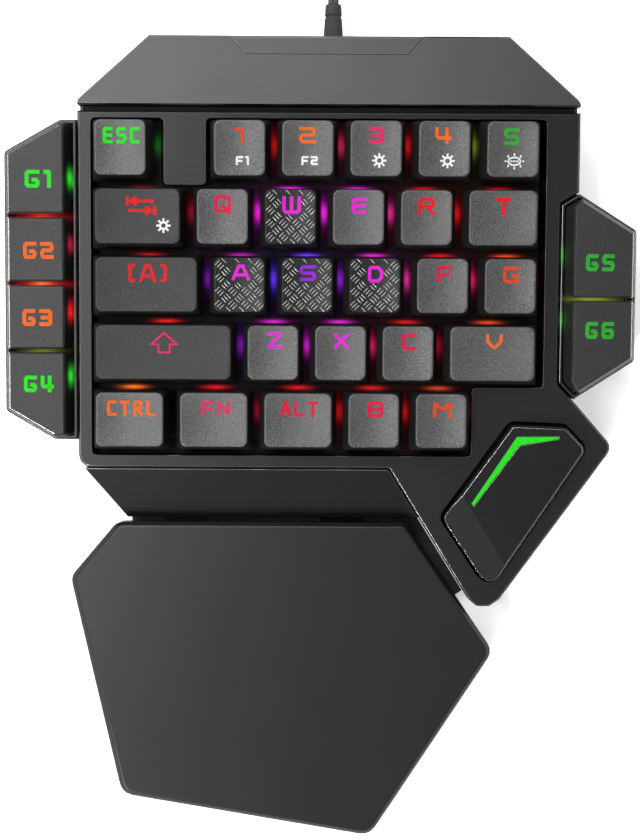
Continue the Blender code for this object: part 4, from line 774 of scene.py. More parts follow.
def cap_shape(width, row):
    """A hollow keycap with a rounded rim, built level by level and then bent to its dish."""
    sizes = settings("keypad_caps")
    top_width = width - 2 * CAP_SIDE_DRAFT
    top = cap_top(width, row)
    rings = []
    for level in CAP_LEVELS:
        climb = min(level, 1.0)
        out = sizes.rim * RIM_BULGE * math.cos(math.tau / 4 * max(level - 1.0, 0.0))
        radius = CAP_BASE_RADIUS + (CAP_TOP_RADIUS - CAP_BASE_RADIUS) * climb
        wide = width + (top_width + 2 * out - width) * climb
        deep = CAP_DEPTH + (CAP_TOP_DEPTH + 2 * out - CAP_DEPTH) * climb
        rings.append([(x, y, level) for x, y in rounded_rectangle(wide, deep, radius, CAP_MIDDLE * climb)])
    shape = bmesh.new()
    loft(shape, rings)
    sliced(shape, 0, evenly(-width / 2, width / 2, sizes.cell))
    sliced(shape, 1, evenly(-CAP_DEPTH / 2, CAP_DEPTH / 2, sizes.cell))
    # Faces up to the rim's start take the skirt finish, whose darker tone paints shade on the sides
    for face in shape.faces:
        face.material_index = int(all(vertex.co.z < 1.0 + MERGE_DISTANCE for vertex in face.verts))
    floor = [face for face in shape.faces if all(vertex.co.z < MERGE_DISTANCE for vertex in face.verts)]
    bottom = bmesh.ops.dissolve_faces(shape, faces=floor)["region"]
    for vertex in shape.verts:
        level = vertex.co.z
        high = top(vertex.co.x, vertex.co.y)
        if level > 1:
            vertex.co.z = high - sizes.rim * (1 - math.sin(math.tau / 4 * (level - 1)))
        else:
            vertex.co.z = -CAP_SKIRT_DEPTH + level * (high - sizes.rim + CAP_SKIRT_DEPTH)
    bmesh.ops.inset_region(shape, faces=bottom, thickness=sizes.wall)
    raised = bmesh.ops.extrude_discrete_faces(shape, faces=bottom)["faces"]
    roof = min(top(0, -CAP_DEPTH / 2), top(0, CAP_DEPTH / 2)) - sizes.roof
    for face in raised:
        for vertex in face.verts:
            vertex.co.z = roof
            vertex.co.x *= (top_width - sizes.wall) / (width - 2 * sizes.wall)
            vertex.co.y *= (CAP_TOP_DEPTH - sizes.wall) / (CAP_DEPTH - 2 * sizes.wall)
            vertex.co.y += CAP_MIDDLE
    across, along, reach = SLIDER
    slider = rounded_rectangle(across, along, SLIDER_RADIUS, steps=2)
    loft(shape, [[(x, y, z) for x, y in slider] for z in (-reach, roof - OVERLAP)])
    # Faces low on the cap take the skirt finish too, with its painted shade
    for face in shape.faces:
        if face.calc_center_median().z < 0:
            face.material_index = 1
    return shape


def cap_finish(name):
    if name in TREAD_KEYS:
        return finish("tread_ground")
    # The widest keycaps take the darker copy of the keycap finish, which is painted shade
    return finish("wide_keycap_grain" if name in WIDE_KEYS else "keycap_grain")


def build_keycaps():
    for name in (name for names in MAIN_ROWS for name in names):
        u, v, width, row = key_place(name)
        shape = cap_shape(width, row)
        set_on_deck(shape, u, v)
        cap = object_from(shape, f"{name}_cap", (cap_finish(name), finish("keycap_skirt")), CAP_SMOOTH)
        paint_key_glow(cap)
        link(cap, f"{name}_body", "keycap", name)


# Bare margins round a legend, in millimetres, and along a tread cap's rim
LEGEND_MARGIN = 0.7
TREAD_MARGIN = 0.55 * MM

# A bar's corner radius as a share of its width, and its levels: how wide it is and how high
BAR_RADIUS_SHARE = 0.48
BAR_LEVELS = ((1.0, 0.0), (1.0, 0.5), (0.55, 1.0))


def bar_places(half_width, half_depth, clear):
    """Centres and turns of a tread cap's bars, in groups that lie crosswise in turn, off the legend."""
    sizes = settings("keypad_treads")
    cells = int(2 * half_width / sizes.group) + 1
    spacing = sizes.group / sizes.bars_a_group
    places = []
    for across in range(-cells, cells + 1):
        for along in range(-cells, cells + 1):
            for bar in range(sizes.bars_a_group):
                off = (bar - (sizes.bars_a_group - 1) / 2) * spacing
                p, q = across * sizes.group, along * sizes.group
                crosswise = (across + along) % 2
                if crosswise:
                    q += off
                else:
                    p += off
                x = (p - q) * math.sqrt(0.5)
                y = (p + q) * math.sqrt(0.5)
                angle = math.tau / 8 if crosswise else -math.tau / 8
                inside = abs(x) < half_width and abs(y) < half_depth
                (low_x, low_y), (high_x, high_y) = clear
                if inside and not (low_x < x < high_x and low_y < y + CAP_MIDDLE < high_y):
                    places.append((x, y + CAP_MIDDLE, angle))
    return places


def tread_shape(name):
    """Raised bars over a tread cap's top."""
    _, _, width, row = key_place(name)
    sizes = settings("keypad_treads")
    top = cap_top(width, row)
    _, centre, size, _, _ = next(entry[1:] for entry in CAP_LEGENDS if entry[0] == name)
    low = metres(centre[axis] - size[axis] / 2 - LEGEND_MARGIN for axis in range(2))
    high = metres(centre[axis] + size[axis] / 2 + LEGEND_MARGIN for axis in range(2))
    half_width = width / 2 - CAP_SIDE_DRAFT - TREAD_MARGIN
    outline = rounded_rectangle(
        sizes.bar_length, sizes.bar_width, sizes.bar_width * BAR_RADIUS_SHARE, steps=2
    )
    shape = bmesh.new()
    for x, y, angle in bar_places(half_width, CAP_TOP_DEPTH / 2 - TREAD_MARGIN, (low, high)):
        rings = []
        for scale, level in BAR_LEVELS:
            lift = sizes.bar_rise * level if level else -OVERLAP
            ring = []
            for a, b in outline:
                a -= math.copysign((1 - scale) * sizes.bar_width / 2, a)
                px = x + a * math.cos(angle) - b * scale * math.sin(angle)
                py = y + a * math.sin(angle) + b * scale * math.cos(angle)
                ring.append((px, py, top(px, py) + lift))
            rings.append(ring)
        loft(shape, rings)
    return shape


def build_treads():
    for name in TREAD_KEYS:
        u, v, _, _ = key_place(name)
        shape = tread_shape(name)
        set_on_deck(shape, u, v)
        piece = object_from(shape, f"{name}_tread", finish("tread_bar"), ROUND_SMOOTH)
        link(piece, f"{name}_body", "keycap")


# Legends, in a stroke font of their own: middle lines of strokes in a square of side 1

GLYPHS = {
    "A": (((0, 0), (0.36, 1), (0.64, 1), (1, 0)), ((0.2, 0.3), (0.8, 0.3))),
    "B": (((0, 0), (0, 1), (1, 1), (1, 0), (0, 0)), ((0, 0.5), (1, 0.5))),
    "C": (((1, 1), (0, 1), (0, 0), (1, 0)),),
    "D": (((0, 0), (0, 1), (0.72, 1), (1, 0.72), (1, 0.28), (0.72, 0), (0, 0)),),
    "E": (((1, 1), (0, 1), (0, 0), (1, 0)), ((0, 0.5), (0.9, 0.5))),
    "F": (((0, 0), (0, 1), (1, 1)), ((0, 0.45), (0.85, 0.45))),
    "G": (((1, 1), (0, 1), (0, 0), (1, 0), (1, 0.43), (0.64, 0.43)),),
    "L": (((0, 1), (0, 0), (1, 0)),),
    "M": (((0, 0), (0, 1), (0.5, 0.42), (1, 1), (1, 0)),),
    "N": (((0, 0), (0, 1), (1, 0), (1, 1)),),
    "Q": (((0, 0), (0, 1), (1, 1), (1, 0), (0, 0)), ((0.55, 0.35), (1.0, -0.12))),
    "R": (((0, 0), (0, 1), (1, 1), (1, 0.48), (0, 0.48)), ((0.45, 0.48), (1, 0))),
    "S": (((1, 1), (0, 1), (0, 0.5), (1, 0.5), (1, 0), (0, 0)),),
    "T": (((0, 1), (1, 1)), ((0.5, 1), (0.5, 0))),
    "V": (((0, 1), (0, 0.55), (0.5, 0), (1, 0.55), (1, 1)),),
    "W": (((0, 1), (0, 0), (1, 0), (1, 1)), ((0.5, 1), (0.5, 0))),
    "X": (((0, 1), (1, 0)), ((0, 0), (1, 1))),
    "Z": (((0, 1), (1, 1), (0, 0), (1, 0)),),
    "1": (((0, 1), (1, 1), (1, 0)),),
    "2": (((0, 1), (1, 1), (1, 0.5), (0, 0.5), (0, 0), (1, 0)),),
    "3": (((0, 1), (1, 1), (1, 0), (0, 0)), ((0.15, 0.5), (1, 0.5))),
    "4": (((0, 1), (0, 0.3), (1, 0.3)), ((0.75, 1), (0.75, 0))),
    "5": (((1, 1), (0, 1), (0, 0.5), (1, 0.5), (1, 0), (0, 0)),),
    "6": (((1, 1), (0, 1), (0, 0), (1, 0), (1, 0.5), (0, 0.5)),),
    "[": (((1, 1), (0, 1), (0, 0), (1, 0)),),
    "]": (((0, 1), (1, 1), (1, 0), (0, 0)),),
    "up": (((0.5, 1), (1, 0.42), (0.72, 0.42), (0.72, 0), (0.28, 0), (0.28, 0.42), (0, 0.42), (0.5, 1)),),
    "tabs": (
        ((0, 1), (0, 0.6)),
        ((0.3, 1), (0.12, 0.8), (0.3, 0.6)),
        ((0.2, 0.8), (0.92, 0.8)),
        ((1, 0.4), (1, 0)),
        ((0.7, 0.4), (0.88, 0.2), (0.7, 0)),
        ((0.08, 0.2), (0.8, 0.2)),
    ),
}
NARROW = {"1": 0.5, "[": 0.4, "]": 0.4}
SIGNS = ("up", "tabs", "sun", "oval")

# Each legend: its key, text, centre on the cap and size in millimetres, colour and stroke share
CAP_LEGENDS = (
    ("key_esc", "ESC", (0.4, 3.7), (10.3, 4.5), "green", 1.0),
    ("key_1", "1", (-0.1, 3.7), (2.7, 4.5), "orange_red", 1.0),
    ("key_1", "F1", (0.8, -3.1), (3.7, 2.5), "white", 1.2),
    ("key_2", "2", (-0.1, 4.0), (4.6, 4.5), "orange", 1.0),
    ("key_2", "F2", (0.5, -3.0), (4.6, 2.5), "white", 1.2),
    ("key_3", "3", (0.1, 4.1), (4.1, 4.5), "pink_red", 1.0),
    ("key_3", "sun", (0.9, -2.9), (4.2, 4.2), "white", 0.66),
    ("key_4", "4", (-0.3, 4.1), (4.6, 4.5), "orange", 1.0),
    ("key_4", "sun", (0.9, -2.9), (4.2, 4.2), "white", 0.66),
    ("key_5", "5", (-0.4, 3.9), (4.2, 4.6), "deep_green", 1.0),
    ("key_5", "oval", (0.5, -2.9), (5.6, 4.7), "white", 0.45),
    ("key_tab", "tabs", (1.0, 3.3), (8.5, 5.2), "red", 0.85),
    ("key_tab", "sun", (7.3, -2.2), (4.2, 4.2), "white", 0.7),
    ("key_q", "Q", (0.0, 3.9), (4.7, 4.9), "crimson", 1.0),
    ("key_w", "W", (0.3, 3.7), (5.2, 4.9), "magenta", 1.0),
    ("key_e", "E", (0.2, 3.6), (4.1, 4.5), "magenta", 1.0),
    ("key_r", "R", (0.0, 3.6), (4.7, 4.7), "red", 1.0),
    ("key_t", "T", (0.2, 3.6), (4.4, 4.8), "red", 1.0),
    ("key_caps", "[A]", (0.4, 3.6), (10.8, 5.1), "red", 0.85),
    ("key_a", "A", (0.4, 3.9), (5.1, 4.4), "magenta", 1.0),
    ("key_s", "S", (0.2, 3.8), (4.5, 4.4), "violet", 1.0),
    ("key_d", "D", (0.2, 3.6), (4.3, 4.7), "magenta", 1.0),
    ("key_f", "F", (0.5, 3.7), (4.2, 4.7), "crimson", 1.0),
    ("key_g", "G", (0.3, 3.6), (4.7, 4.7), "orange_red", 1.0),
    ("key_shift", "up", (0.2, 3.1), (7.8, 6.0), "pink_red", 0.55),
    ("key_z", "Z", (0.5, 3.9), (4.5, 4.5), "magenta", 1.0),
    ("key_x", "X", (0.3, 3.8), (4.4, 4.4), "magenta", 1.0),
    ("key_c", "C", (0.3, 3.7), (4.1, 4.7), "crimson", 1.0),
    ("key_v", "V", (0.6, 3.7), (4.6, 4.4), "orange", 1.0),
    ("key_ctrl", "CTRL", (0.5, 3.6), (13.8, 4.4), "orange", 1.0),
    ("key_fn", "FN", (0.5, 3.7), (8.2, 4.2), "pink_red", 1.0),
    ("key_alt", "ALT", (0.3, 3.6), (10.7, 4.3), "crimson", 1.0),
    ("key_b", "B", (0.5, 3.6), (4.5, 4.6), "crimson", 1.0),
    ("key_m", "M", (0.4, 3.7), (5.3, 4.7), "orange_red", 1.0),
)

# The flat keys' legends: body, text, centre on the deck and size in millimetres, and colour
FLAT_LEGENDS = (
    ("macro_key_1", "G1", (-78.2, 29.8), (7.4, 5.0), "green"),
    ("macro_key_2", "G2", (-78.2, 9.8), (8.6, 4.8), "orange"),
    ("macro_key_3", "G3", (-78.6, -9.1), (8.5, 4.8), "orange"),
    ("macro_key_4", "G4", (-78.3, -27.9), (8.5, 4.7), "green"),
    ("macro_key_5", "G5", (80.3, 7.2), (8.1, 4.8), "deep_green"),
    ("macro_key_6", "G6", (80.5, -11.9), (8.1, 4.8), "deep_green"),
)

# Stroke of the macro keys' legends, as a share of the keycaps' stroke
MACRO_STROKE = 1.15

# A letter taller than this has no wider stroke
FULL_STROKE_HEIGHT = 4.8 * MM

# A stroke's corner goes out no further than its half width over this
LEAST_MITRE = 0.45

# Gap between letters, as a share of their height
LETTER_GAP = 0.22

# Corners whose strokes meet at no more than this angle are cut off, by this share of the letter's box,
# where both strokes are this many cuts long
EASED_ANGLE = math.radians(100)
CORNER_CUT = 0.13
CORNER_ROOM = 2.2


def ribbon(shape, line, half, height_at):
    """A flat stroke that follows a surface along a line of points, closed or with square ends."""
    sizes = settings("keypad_legends")
    rise, sink = sizes.rise, sizes.sink
    corners = [Vector(point) for point in line]
    closed = (corners[0] - corners[-1]).length < half / 100
    if not closed:
        corners[0] += (corners[0] - corners[1]).normalized() * half
        corners[-1] += (corners[-1] - corners[-2]).normalized() * half
    points = []
    for start, end in zip(corners, corners[1:]):
        count = max(1, math.ceil((end - start).length / sizes.step))
        points += [start.lerp(end, step / count) for step in range(count)]
    if not closed:
        points.append(corners[-1])
    total = len(points)
    rows = []
    for index, point in enumerate(points):
        before = point - points[index - 1] if closed or index else None
        after = points[(index + 1) % total] - point if closed or index < total - 1 else None
        before, after = before or after, after or before
        first = Vector((-before.y, before.x)).normalized()
        second = Vector((-after.y, after.x)).normalized()
        middle = (first + second).normalized()
        side = middle * (half / max(middle.dot(second), LEAST_MITRE))
        left, right = point + side, point - side
        row = []
        for spot, lift in ((left, rise), (right, rise), (right, -sink), (left, -sink)):
            row.append((spot.x, spot.y, height_at(spot.x, spot.y) + lift))
        rows.append(row)
    loft(shape, rows, closed)


def circle(centre, radius_x, radius_y, sides):
    turns = [math.tau * side / sides for side in range(sides + 1)]
    return [(centre[0] + radius_x * math.cos(turn), centre[1] + radius_y * math.sin(turn)) for turn in turns]


def sun_lines(oval):
    """A ring with rays, or an oval with rays and three dots."""
    rx, ry = (0.33, 0.25) if oval else (0.26, 0.26)
    lines = [circle((0.5, 0.5), rx, ry, 16)]
    for ray in range(8):
        turn = math.tau * ray / 8
        x, y = math.cos(turn), math.sin(turn)
        lines.append([(0.5 + x * (rx + 0.13), 0.5 + y * (ry + 0.14)), (0.5 + x * 0.48, 0.5 + y * 0.48)])
    if oval:
        lines += [[(spot, 0.5), (spot + 0.05, 0.5)] for spot in (0.31, 0.475, 0.64)]
    return lines


def eased(stroke):
    """A stroke whose corners are cut off, where it turns by a lot and has the room."""
    closed = stroke[0] == stroke[-1]
    points = [Vector(point) for point in stroke]
    result = [] if closed else [points[0]]
    for index in range(0 if closed else 1, len(points) - 1):
        here, after = points[index], points[index + 1]
        before = points[index - 1] if index else points[-2]
        back, ahead = before - here, after - here
        shorter = min(back.length, ahead.length)
        if back.angle(ahead) > EASED_ANGLE or shorter < CORNER_ROOM * CORNER_CUT:
            result.append(here)
        else:
            result += [here + arm.normalized() * CORNER_CUT for arm in (back, ahead)]
    result.append(result[0] if closed else points[-1])
    return result


def text_lines(text, centre, size, half):
    """The strokes of a sign or a row of letters, placed in its box."""
    left, low = centre[0] - size[0] / 2, centre[1] - size[1] / 2
    if text in SIGNS:
        boxes = [(text, left, size[0])]
    else:
        gap = size[1] * LETTER_GAP
        room = size[0] - gap * (len(text) - 1)
        unit = room / sum(NARROW.get(letter, 1.0) for letter in text)
        boxes = []
        for letter in text:
            wide = size[0] if len(text) == 1 else unit * NARROW.get(letter, 1.0)
            boxes.append((letter, left, wide))
            left += wide + gap
    lines = []
    for glyph, left, wide in boxes:
        strokes = sun_lines(glyph == "oval") if glyph in ("sun", "oval") else GLYPHS[glyph]
        if glyph not in SIGNS:
            strokes = [eased(stroke) for stroke in strokes]
        across, up = wide - 2 * half, size[1] - 2 * half
        for stroke in strokes:
            lines.append([(left + half + x * across, low + half + y * up) for x, y in stroke])
    return lines


def add_legend(name, key, text, box, colour_name, stroke, height_at, place=(0.0, 0.0)):
    """Prints a lit legend on a key's top, in a box whose centre and size are in millimetres."""
    centre, size = metres(box[0]), metres(box[1])
    half = settings("keypad_legends").stroke * stroke * min(size[1], FULL_STROKE_HEIGHT) / 2
    shape = bmesh.new()
    for line in text_lines(text, centre, size, half):
        ribbon(shape, line, half, height_at)
    set_on_deck(shape, *place)
    link(object_from(shape, name, lamp_face(colour_name), PLAIN_SMOOTH), f"{key}_body", "light")


def build_legends():
    for index, (key, text, *box, colour_name, stroke) in enumerate(CAP_LEGENDS):
        u, v, width, row = key_place(key)
        top = cap_top(width, row)
        add_legend(f"{key}_legend_{index}", key, text, box, colour_name, stroke, top, (u, v))
    for key, text, *box, colour_name in FLAT_LEGENDS:
        add_legend(f"{key}_legend", key, text, box, colour_name, MACRO_STROKE, lambda x, y: MACRO_TOP)


# Flat keys

# Widths of the rounded edges, as shares of the flat keys' edge radius
MACRO_EDGE_SHARE = 0.75
THUMB_EDGE_SHARE = 1.5
GUIDE_EDGE_SHARE = 1 / 3

# A macro key's edge gets the painted highlight, a bright metal finish, where it faces outwards by at least
# this share
OUTWARD_SHARE = 0.15

# Heights over the deck at which the wings' pieces are cut, in millimetres
WING_LEVELS = (-1.0, 0.0, 0.8, 1.6, 2.4, 3.2)
WING_MARGIN = 3 * MM


def gap_cuts():
    """Cuts across the deck, close together beside the gaps that the wings' light leaks from."""
    return around(LEFT_GAP * MM, 0.4, 4, 4) + around(RIGHT_GAP * MM, 0.4, 4, 4)


def wing_cuts(name):
    """Where a wing's piece is cut."""
    low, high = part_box(name)
    across = evenly(low[0] - ORIGIN.x, high[0] - ORIGIN.x, 2.0 * MM)
    along = evenly(low[1] - ORIGIN.y - WING_MARGIN, high[1] - ORIGIN.y + WING_MARGIN, 1.2 * MM)
    return across + gap_cuts(), along, metres(WING_LEVELS)


def build_flat_keys():
    edge = settings("keypad_edges").key
    bright = finish("bright_edge")
    for name in (f"macro_key_{index}" for index in range(1, 7)):
        width = edge * MACRO_EDGE_SHARE
        piece = refined(name, f"{name}_cap", finish("macro_face"), width, wing_cuts(name), bright)
        # Only the outward-facing edges keep the painted highlight
        outwards = math.copysign(1.0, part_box(name)[0][0])
        for face in piece.data.polygons:
            if face.normal.x * outwards < OUTWARD_SHARE:
                face.material_index = 0
        paint_wing_glow(piece)
        link(piece, f"{name}_body", "keycap", name)
    # The thumb key's rounded edges carry the painted highlight all round
    key = refined("thumb_key", "thumb_key_cap", finish("thumb_face"), edge * THUMB_EDGE_SHARE, edge=bright)
    link(key, "thumb_key_body", "gloss", "thumb_key")
    bar = refined("thumb_light_bar", "thumb_light_guide", lamp_face("green"), edge * GUIDE_EDGE_SHARE)
    link(bar, "thumb_key_body", "light", "thumb_light_bar")


# Housings

# Middles of the wings, in millimetres across the deck
WING_MIDDLES = (-79.0, 79.0)


def plate_cuts():
    """Where the plate is cut for its glow: close together in the gaps between keycaps."""
    across = evenly(-FIELD_HALF_WIDTH, FIELD_HALF_WIDTH, 0.9 * MM) + gap_cuts()
    for middle in WING_MIDDLES:
        across += around(middle * MM, 2.0, 3, 3)
    along = []
    for row in range(len(MAIN_ROWS)):
        middle = FIELD_HALF_DEPTH - (row + 0.5) * KEY_PITCH
        along += around(middle, 1.1, 4, 5)
        along += around(middle + REAR_LAMP_AHEAD, 0.3, 4, 4)
    return across, along


# Depth of the frame's slope that dips under the rear cover, which is painted in shade, and how far behind
# the rest's rear the painted shade of a seam starts
SEAM_DEPTH = 2.3 * MM
REST_SEAM = 0.5 * MM


def paint_seam_shade(piece, behind):
    """Paints shade, in the switch plate's black, on what lies in a seam, further back than a given place."""
    piece.data.materials.append(finish("well_black"))
    for face in piece.data.polygons:
        if face.center.y > behind:
            face.material_index = len(piece.data.materials) - 1


def build_housing():
    edges = settings("keypad_edges")
    polished = finish("polished_edge")
    plain = (
        ("top_frame", "satin_shell", "satin", edges.frame),
        ("rear_cover", "rear_satin", "gloss", edges.cover),
        ("rear_inlay", "rear_satin", "gloss", edges.cover / 2),
        ("front_apron", "apron_gloss", "gloss", edges.cover),
        ("bottom_case", "satin_shell", "satin", edges.case),
    )
    for name, finish_name, slot, width in plain:
        piece = refined(name, f"{name}_shell", finish(finish_name), width, edge=polished)
        # The frame's slope under the rear cover gets painted shade
        if name == "top_frame":
            paint_seam_shade(piece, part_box(name)[1][1] - SEAM_DEPTH)
        link(piece, "case", slot, name)
    for name in ("left_wing_cover", "right_wing_cover"):
        shell = finish("gloss_shell")
        piece = refined(name, f"{name}_shell", shell, edges.cover / 2, wing_cuts(name), polished)
        paint_wing_glow(piece)
        link(piece, "case", "gloss", name)


def build_inside():
    sizes = settings("keypad_glow")
    plate = refined("switch_plate", "switch_plate_lit", finish("well_black"), 0, plate_cuts())
    paint_glow(plate, np.concatenate((key_rows(), wing_rows())), sizes.level, sizes.fade)
    link(plate, "case", "switch", "switch_plate")
    board = frame["nodes"]["circuit_board"].data.materials
    board.clear()
    board.append(finish("board_lacquer"))


# A dark rubber strip in the seam between the rest and the case, put there as painted shade so that the floor
# doesn't show through: its outline and heights in millimetres
SEAM_SHADE_STRIP = (
    (-55.2, -26.1),
    (25.4, -26.1),
    (40.05, -47.0),
    (42.6, -45.3),
    (28.7, -22.9),
    (-55.2, -22.9),
)
SEAM_SHADE_STRIP_HEIGHTS = (2.0, 3.5)


def build_wrist_rest():
    width = settings("keypad_edges").rest
    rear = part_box("wrist_rest_cover")[1][1]
    for name in ("wrist_rest_cover", "wrist_rest_base"):
        piece = refined(name, f"{name}_shell", finish("rest_satin"), width)
        # The rest's parts that reach into the seam, behind its rear, get painted shade
        paint_seam_shade(piece, rear + REST_SEAM)
        link(piece, "wrist_rest", "satin", name)
    # The dark strip in the seam is painted shade that hides the floor
    shape = bmesh.new()
    loft(shape, [[metres((x, y, z)) for x, y in SEAM_SHADE_STRIP] for z in SEAM_SHADE_STRIP_HEIGHTS])
    link(object_from(shape, "rest_lip", finish("soft_rubber"), PLAIN_SMOOTH), "wrist_rest", "rubber")


# Screw places under the case and the rest, in millimetres from the deck's middle
CASE_SCREWS = (
    (-46.3, 28.6),
    (39.9, 28.6),
    (-46.3, -28.6),
    (39.9, -28.6),
    (-78.4, 19.6),
    (-78.4, -18.4),
    (80.3, -3.1),
    (39.4, -57.0),
)
REST_SCREWS = ((-50.0, -85.0), (30.0, -85.0), (-48.5, -140.0), (15.0, -140.0))

# A screw's head: how far each level reaches, as a share of its radius, and how low it lies, in millimetres
SCREW_SIDES = 32
HEAD_LEVELS = ((1.0, -0.05), (1.0, 0.25), (0.85, 0.48), (0.62, 0.6))

# The cross recess: how far it reaches between its arms and along them, and its levels as above
RECESS_INNER = 0.3
RECESS_OUTER = 0.55
RECESS_LEVELS = ((1.0, 0.6), (0.8, 0.2))
FOOT_EDGE = 0.3 * MM


def screw_shape(spots, height, radius):
    """Pan heads that hang from a height, each with a cross recess."""
    turns = [math.tau * side / SCREW_SIDES for side in range(SCREW_SIDES)]
    cross = [RECESS_INNER + (RECESS_OUTER - RECESS_INNER) * abs(math.cos(2 * turn)) ** 6 for turn in turns]
    levels = [([share] * SCREW_SIDES, down) for share, down in HEAD_LEVELS]
    levels += [([share * reach for reach in cross], down) for share, down in RECESS_LEVELS]
    shape = bmesh.new()
    for x, y in spots:
        rings = []
        for reaches, down in levels:
            ring = []
            for turn, reach in zip(turns, reaches):
                out = radius * reach
                ring.append((x + out * math.cos(turn), y + out * math.sin(turn), height - down * MM))
            rings.append(ring)
        loft(shape, rings)
    return shape


def build_feet_and_screws():
    case_feet = [f"case_foot_{place}" for place in ("rear_left", "rear_right", "front_left", "front_right")]
    rest_feet = ["rest_foot_rear", "rest_foot_front"]
    for body, names in (("case", case_feet), ("wrist_rest", rest_feet)):
        for name in names:
            link(refined(name, f"{name}_pad", finish("soft_rubber"), FOOT_EDGE), body, "rubber", name)
    for name, spots, body, carrier in (
        ("case_screws", CASE_SCREWS, "case", "bottom_case"),
        ("rest_screws", REST_SCREWS, "wrist_rest", "wrist_rest_base"),
    ):
        places = [(ORIGIN.x + x * MM, ORIGIN.y + y * MM) for x, y in spots]
        shape = screw_shape(places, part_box(carrier)[0][2], settings("keypad_edges").screw)
        link(object_from(shape, name, finish("bright_metal"), SCREW_SMOOTH), body, "nickel")


# Cord


def eased_step(part):
    """A smooth step from 0 to 1."""
    part = min(max(part, 0.0), 1.0)
    return part * part * (3 - 2 * part)


def coil_point(turns):
    """The coil's middle line after this many turns, from the top layer's outer side downwards."""
    span = COIL_TURNS / COIL_LAYERS
    phase = turns % (2 * span)
    inwards = span - abs(phase - span)
    radius = COIL_MEAN_RADIUS + span * COIL_PITCH / 2 - inwards * COIL_PITCH
    drop = 0.0
    for layer in range(1, COIL_LAYERS):
        drop += eased_step((turns - (layer * span - CLIMB_TURNS / 2)) / CLIMB_TURNS)
    angle = math.pi - math.tau * turns
    height = COIL_BASE + (COIL_LAYERS - 1 - drop) * COIL_PITCH
    return Vector((radius * math.cos(angle), radius * math.sin(angle), height))


def smooth_route(route, each):
    """Points on a smooth curve through a route."""
    points = [Vector(point) for point in route]
    padded = [2 * points[0] - points[1], *points, 2 * points[-1] - points[-2]]
    result = []
    for index in range(1, len(padded) - 2):
        before, start, end, after = padded[index - 1 : index + 3]
        for step in range(each):
            t = step / each
            result.append(
                start
                + (end - before) * (t / 2)
                + (before * 2 - start * 5 + end * 4 - after) * (t * t / 2)
                + (start * 3 - before - end * 3 + after) * (t * t * t / 2)
            )
    return result + [points[-1]]


def cord_path():
    """The whole cord's middle line, from the strain relief's end to the plug."""
    start = Vector((ORIGIN.x + EXIT_X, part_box("strain_relief")[1][1] + SEAM, EXIT_HEIGHT))
    outer = COIL_MEAN_RADIUS + COIL_TURNS / COIL_LAYERS * COIL_PITCH / 2
    centre = start + Vector((COIL_DRIFT + outer, COIL_FROM_EXIT, -EXIT_HEIGHT))
    run_length = COIL_FROM_EXIT - COIL_LEAD - SEAM
    rise = COIL_BASE + (COIL_LAYERS - 1) * COIL_PITCH - EXIT_HEIGHT
    route = [
        (across * COIL_DRIFT, along * run_length, up * rise - down * RUN_SAG)
        for across, along, up, down in RUN_ROUTE_SHARES
    ]
    run = [start + point for point in smooth_route(route, RUN_STEPS)]
    count = round(COIL_TURNS * COIL_POINTS_A_TURN)
    loops = [centre + coil_point(index / COIL_POINTS_A_TURN) for index in range(count + 1)]
    tail = []
    for step in range(1, TAIL_STEPS + 1):
        part = step / TAIL_STEPS
        tail.append(loops[-1] + Vector((part * TAIL_LENGTH, 0, TAIL_RISE * eased_step(part))))
    return [*run, *loops, *tail, tail[-1] + Vector((CORD_DIAMETER, 0, 0))]


def tube(name, points, radius, sides):
    """A round tube with flat ends and UVs that follow its length and girth, and its length."""
    shape = bmesh.new()
    layer = shape.loops.layers.uv.new("UVMap")
    rings, lengths, total = [], [], 0.0
    side = Vector((1, 0, 0))
    for index, point in enumerate(points):
        tangent = (points[min(index + 1, len(points) - 1)] - points[max(index - 1, 0)]).normalized()
        side = (side - tangent * side.dot(tangent)).normalized()
        up = tangent.cross(side)
        if index:
            total += (point - points[index - 1]).length
        lengths.append(total)
        turns = [math.tau * step / sides for step in range(sides)]
        rings.append([point + radius * (side * math.cos(turn) + up * math.sin(turn)) for turn in turns])
    for number, face in enumerate(loft(shape, rings)):
        index, step = divmod(number, sides)
        spots = ((step, index), (step + 1, index), (step + 1, index + 1), (step, index + 1))
        for corner, (across, along) in zip(face.loops, spots):
            corner[layer].uv = (lengths[along] / BRAID_LENGTH, across / sides)
    return object_from(shape, name, finish("braided_sleeve"), ROUND_SMOOTH), total


def build_cord():
    path = cord_path()
    cord, cord_length = tube("braided_cord", path, CORD_DIAMETER / 2, CORD_SIDES)
    link(cord, "case", "cord", "cord_run", "cord_coil")
    for name, finish_name, slot, width in (
        ("strain_relief", "soft_rubber", "rubber", 0.15),
        ("cord_tie", "soft_rubber", "rubber", 0.15),
        ("usb_grip", "soft_rubber", "rubber", 0.3),
        ("usb_shell", "bright_metal", "nickel", 0.08),
        ("usb_insulator", "soft_rubber", "rubber", 0.1),
    ):
        piece = refined(name, f"{name}_piece", finish(finish_name), width * MM)
        link(piece, "case", slot, name)


# Stage


# The camera's place beside the origin, its sensor in millimetres and its shifts
CAMERA_SPOT = (-5.25 * MM, -0.61 * MM)
SENSOR_WIDTH = 36.0
LENS_SHIFT = (0.0224, 0.0223)

# The floor reaches this far each way, this far under the feet
FLOOR_HALF = 3.0
FLOOR_DROP = 0.2 * MM

# Share of the floor's tone that is its own light
FLOOR_LIGHT = 0.5

# The lights point here
LIT_SPOT = (0, 0.04, 0.02)

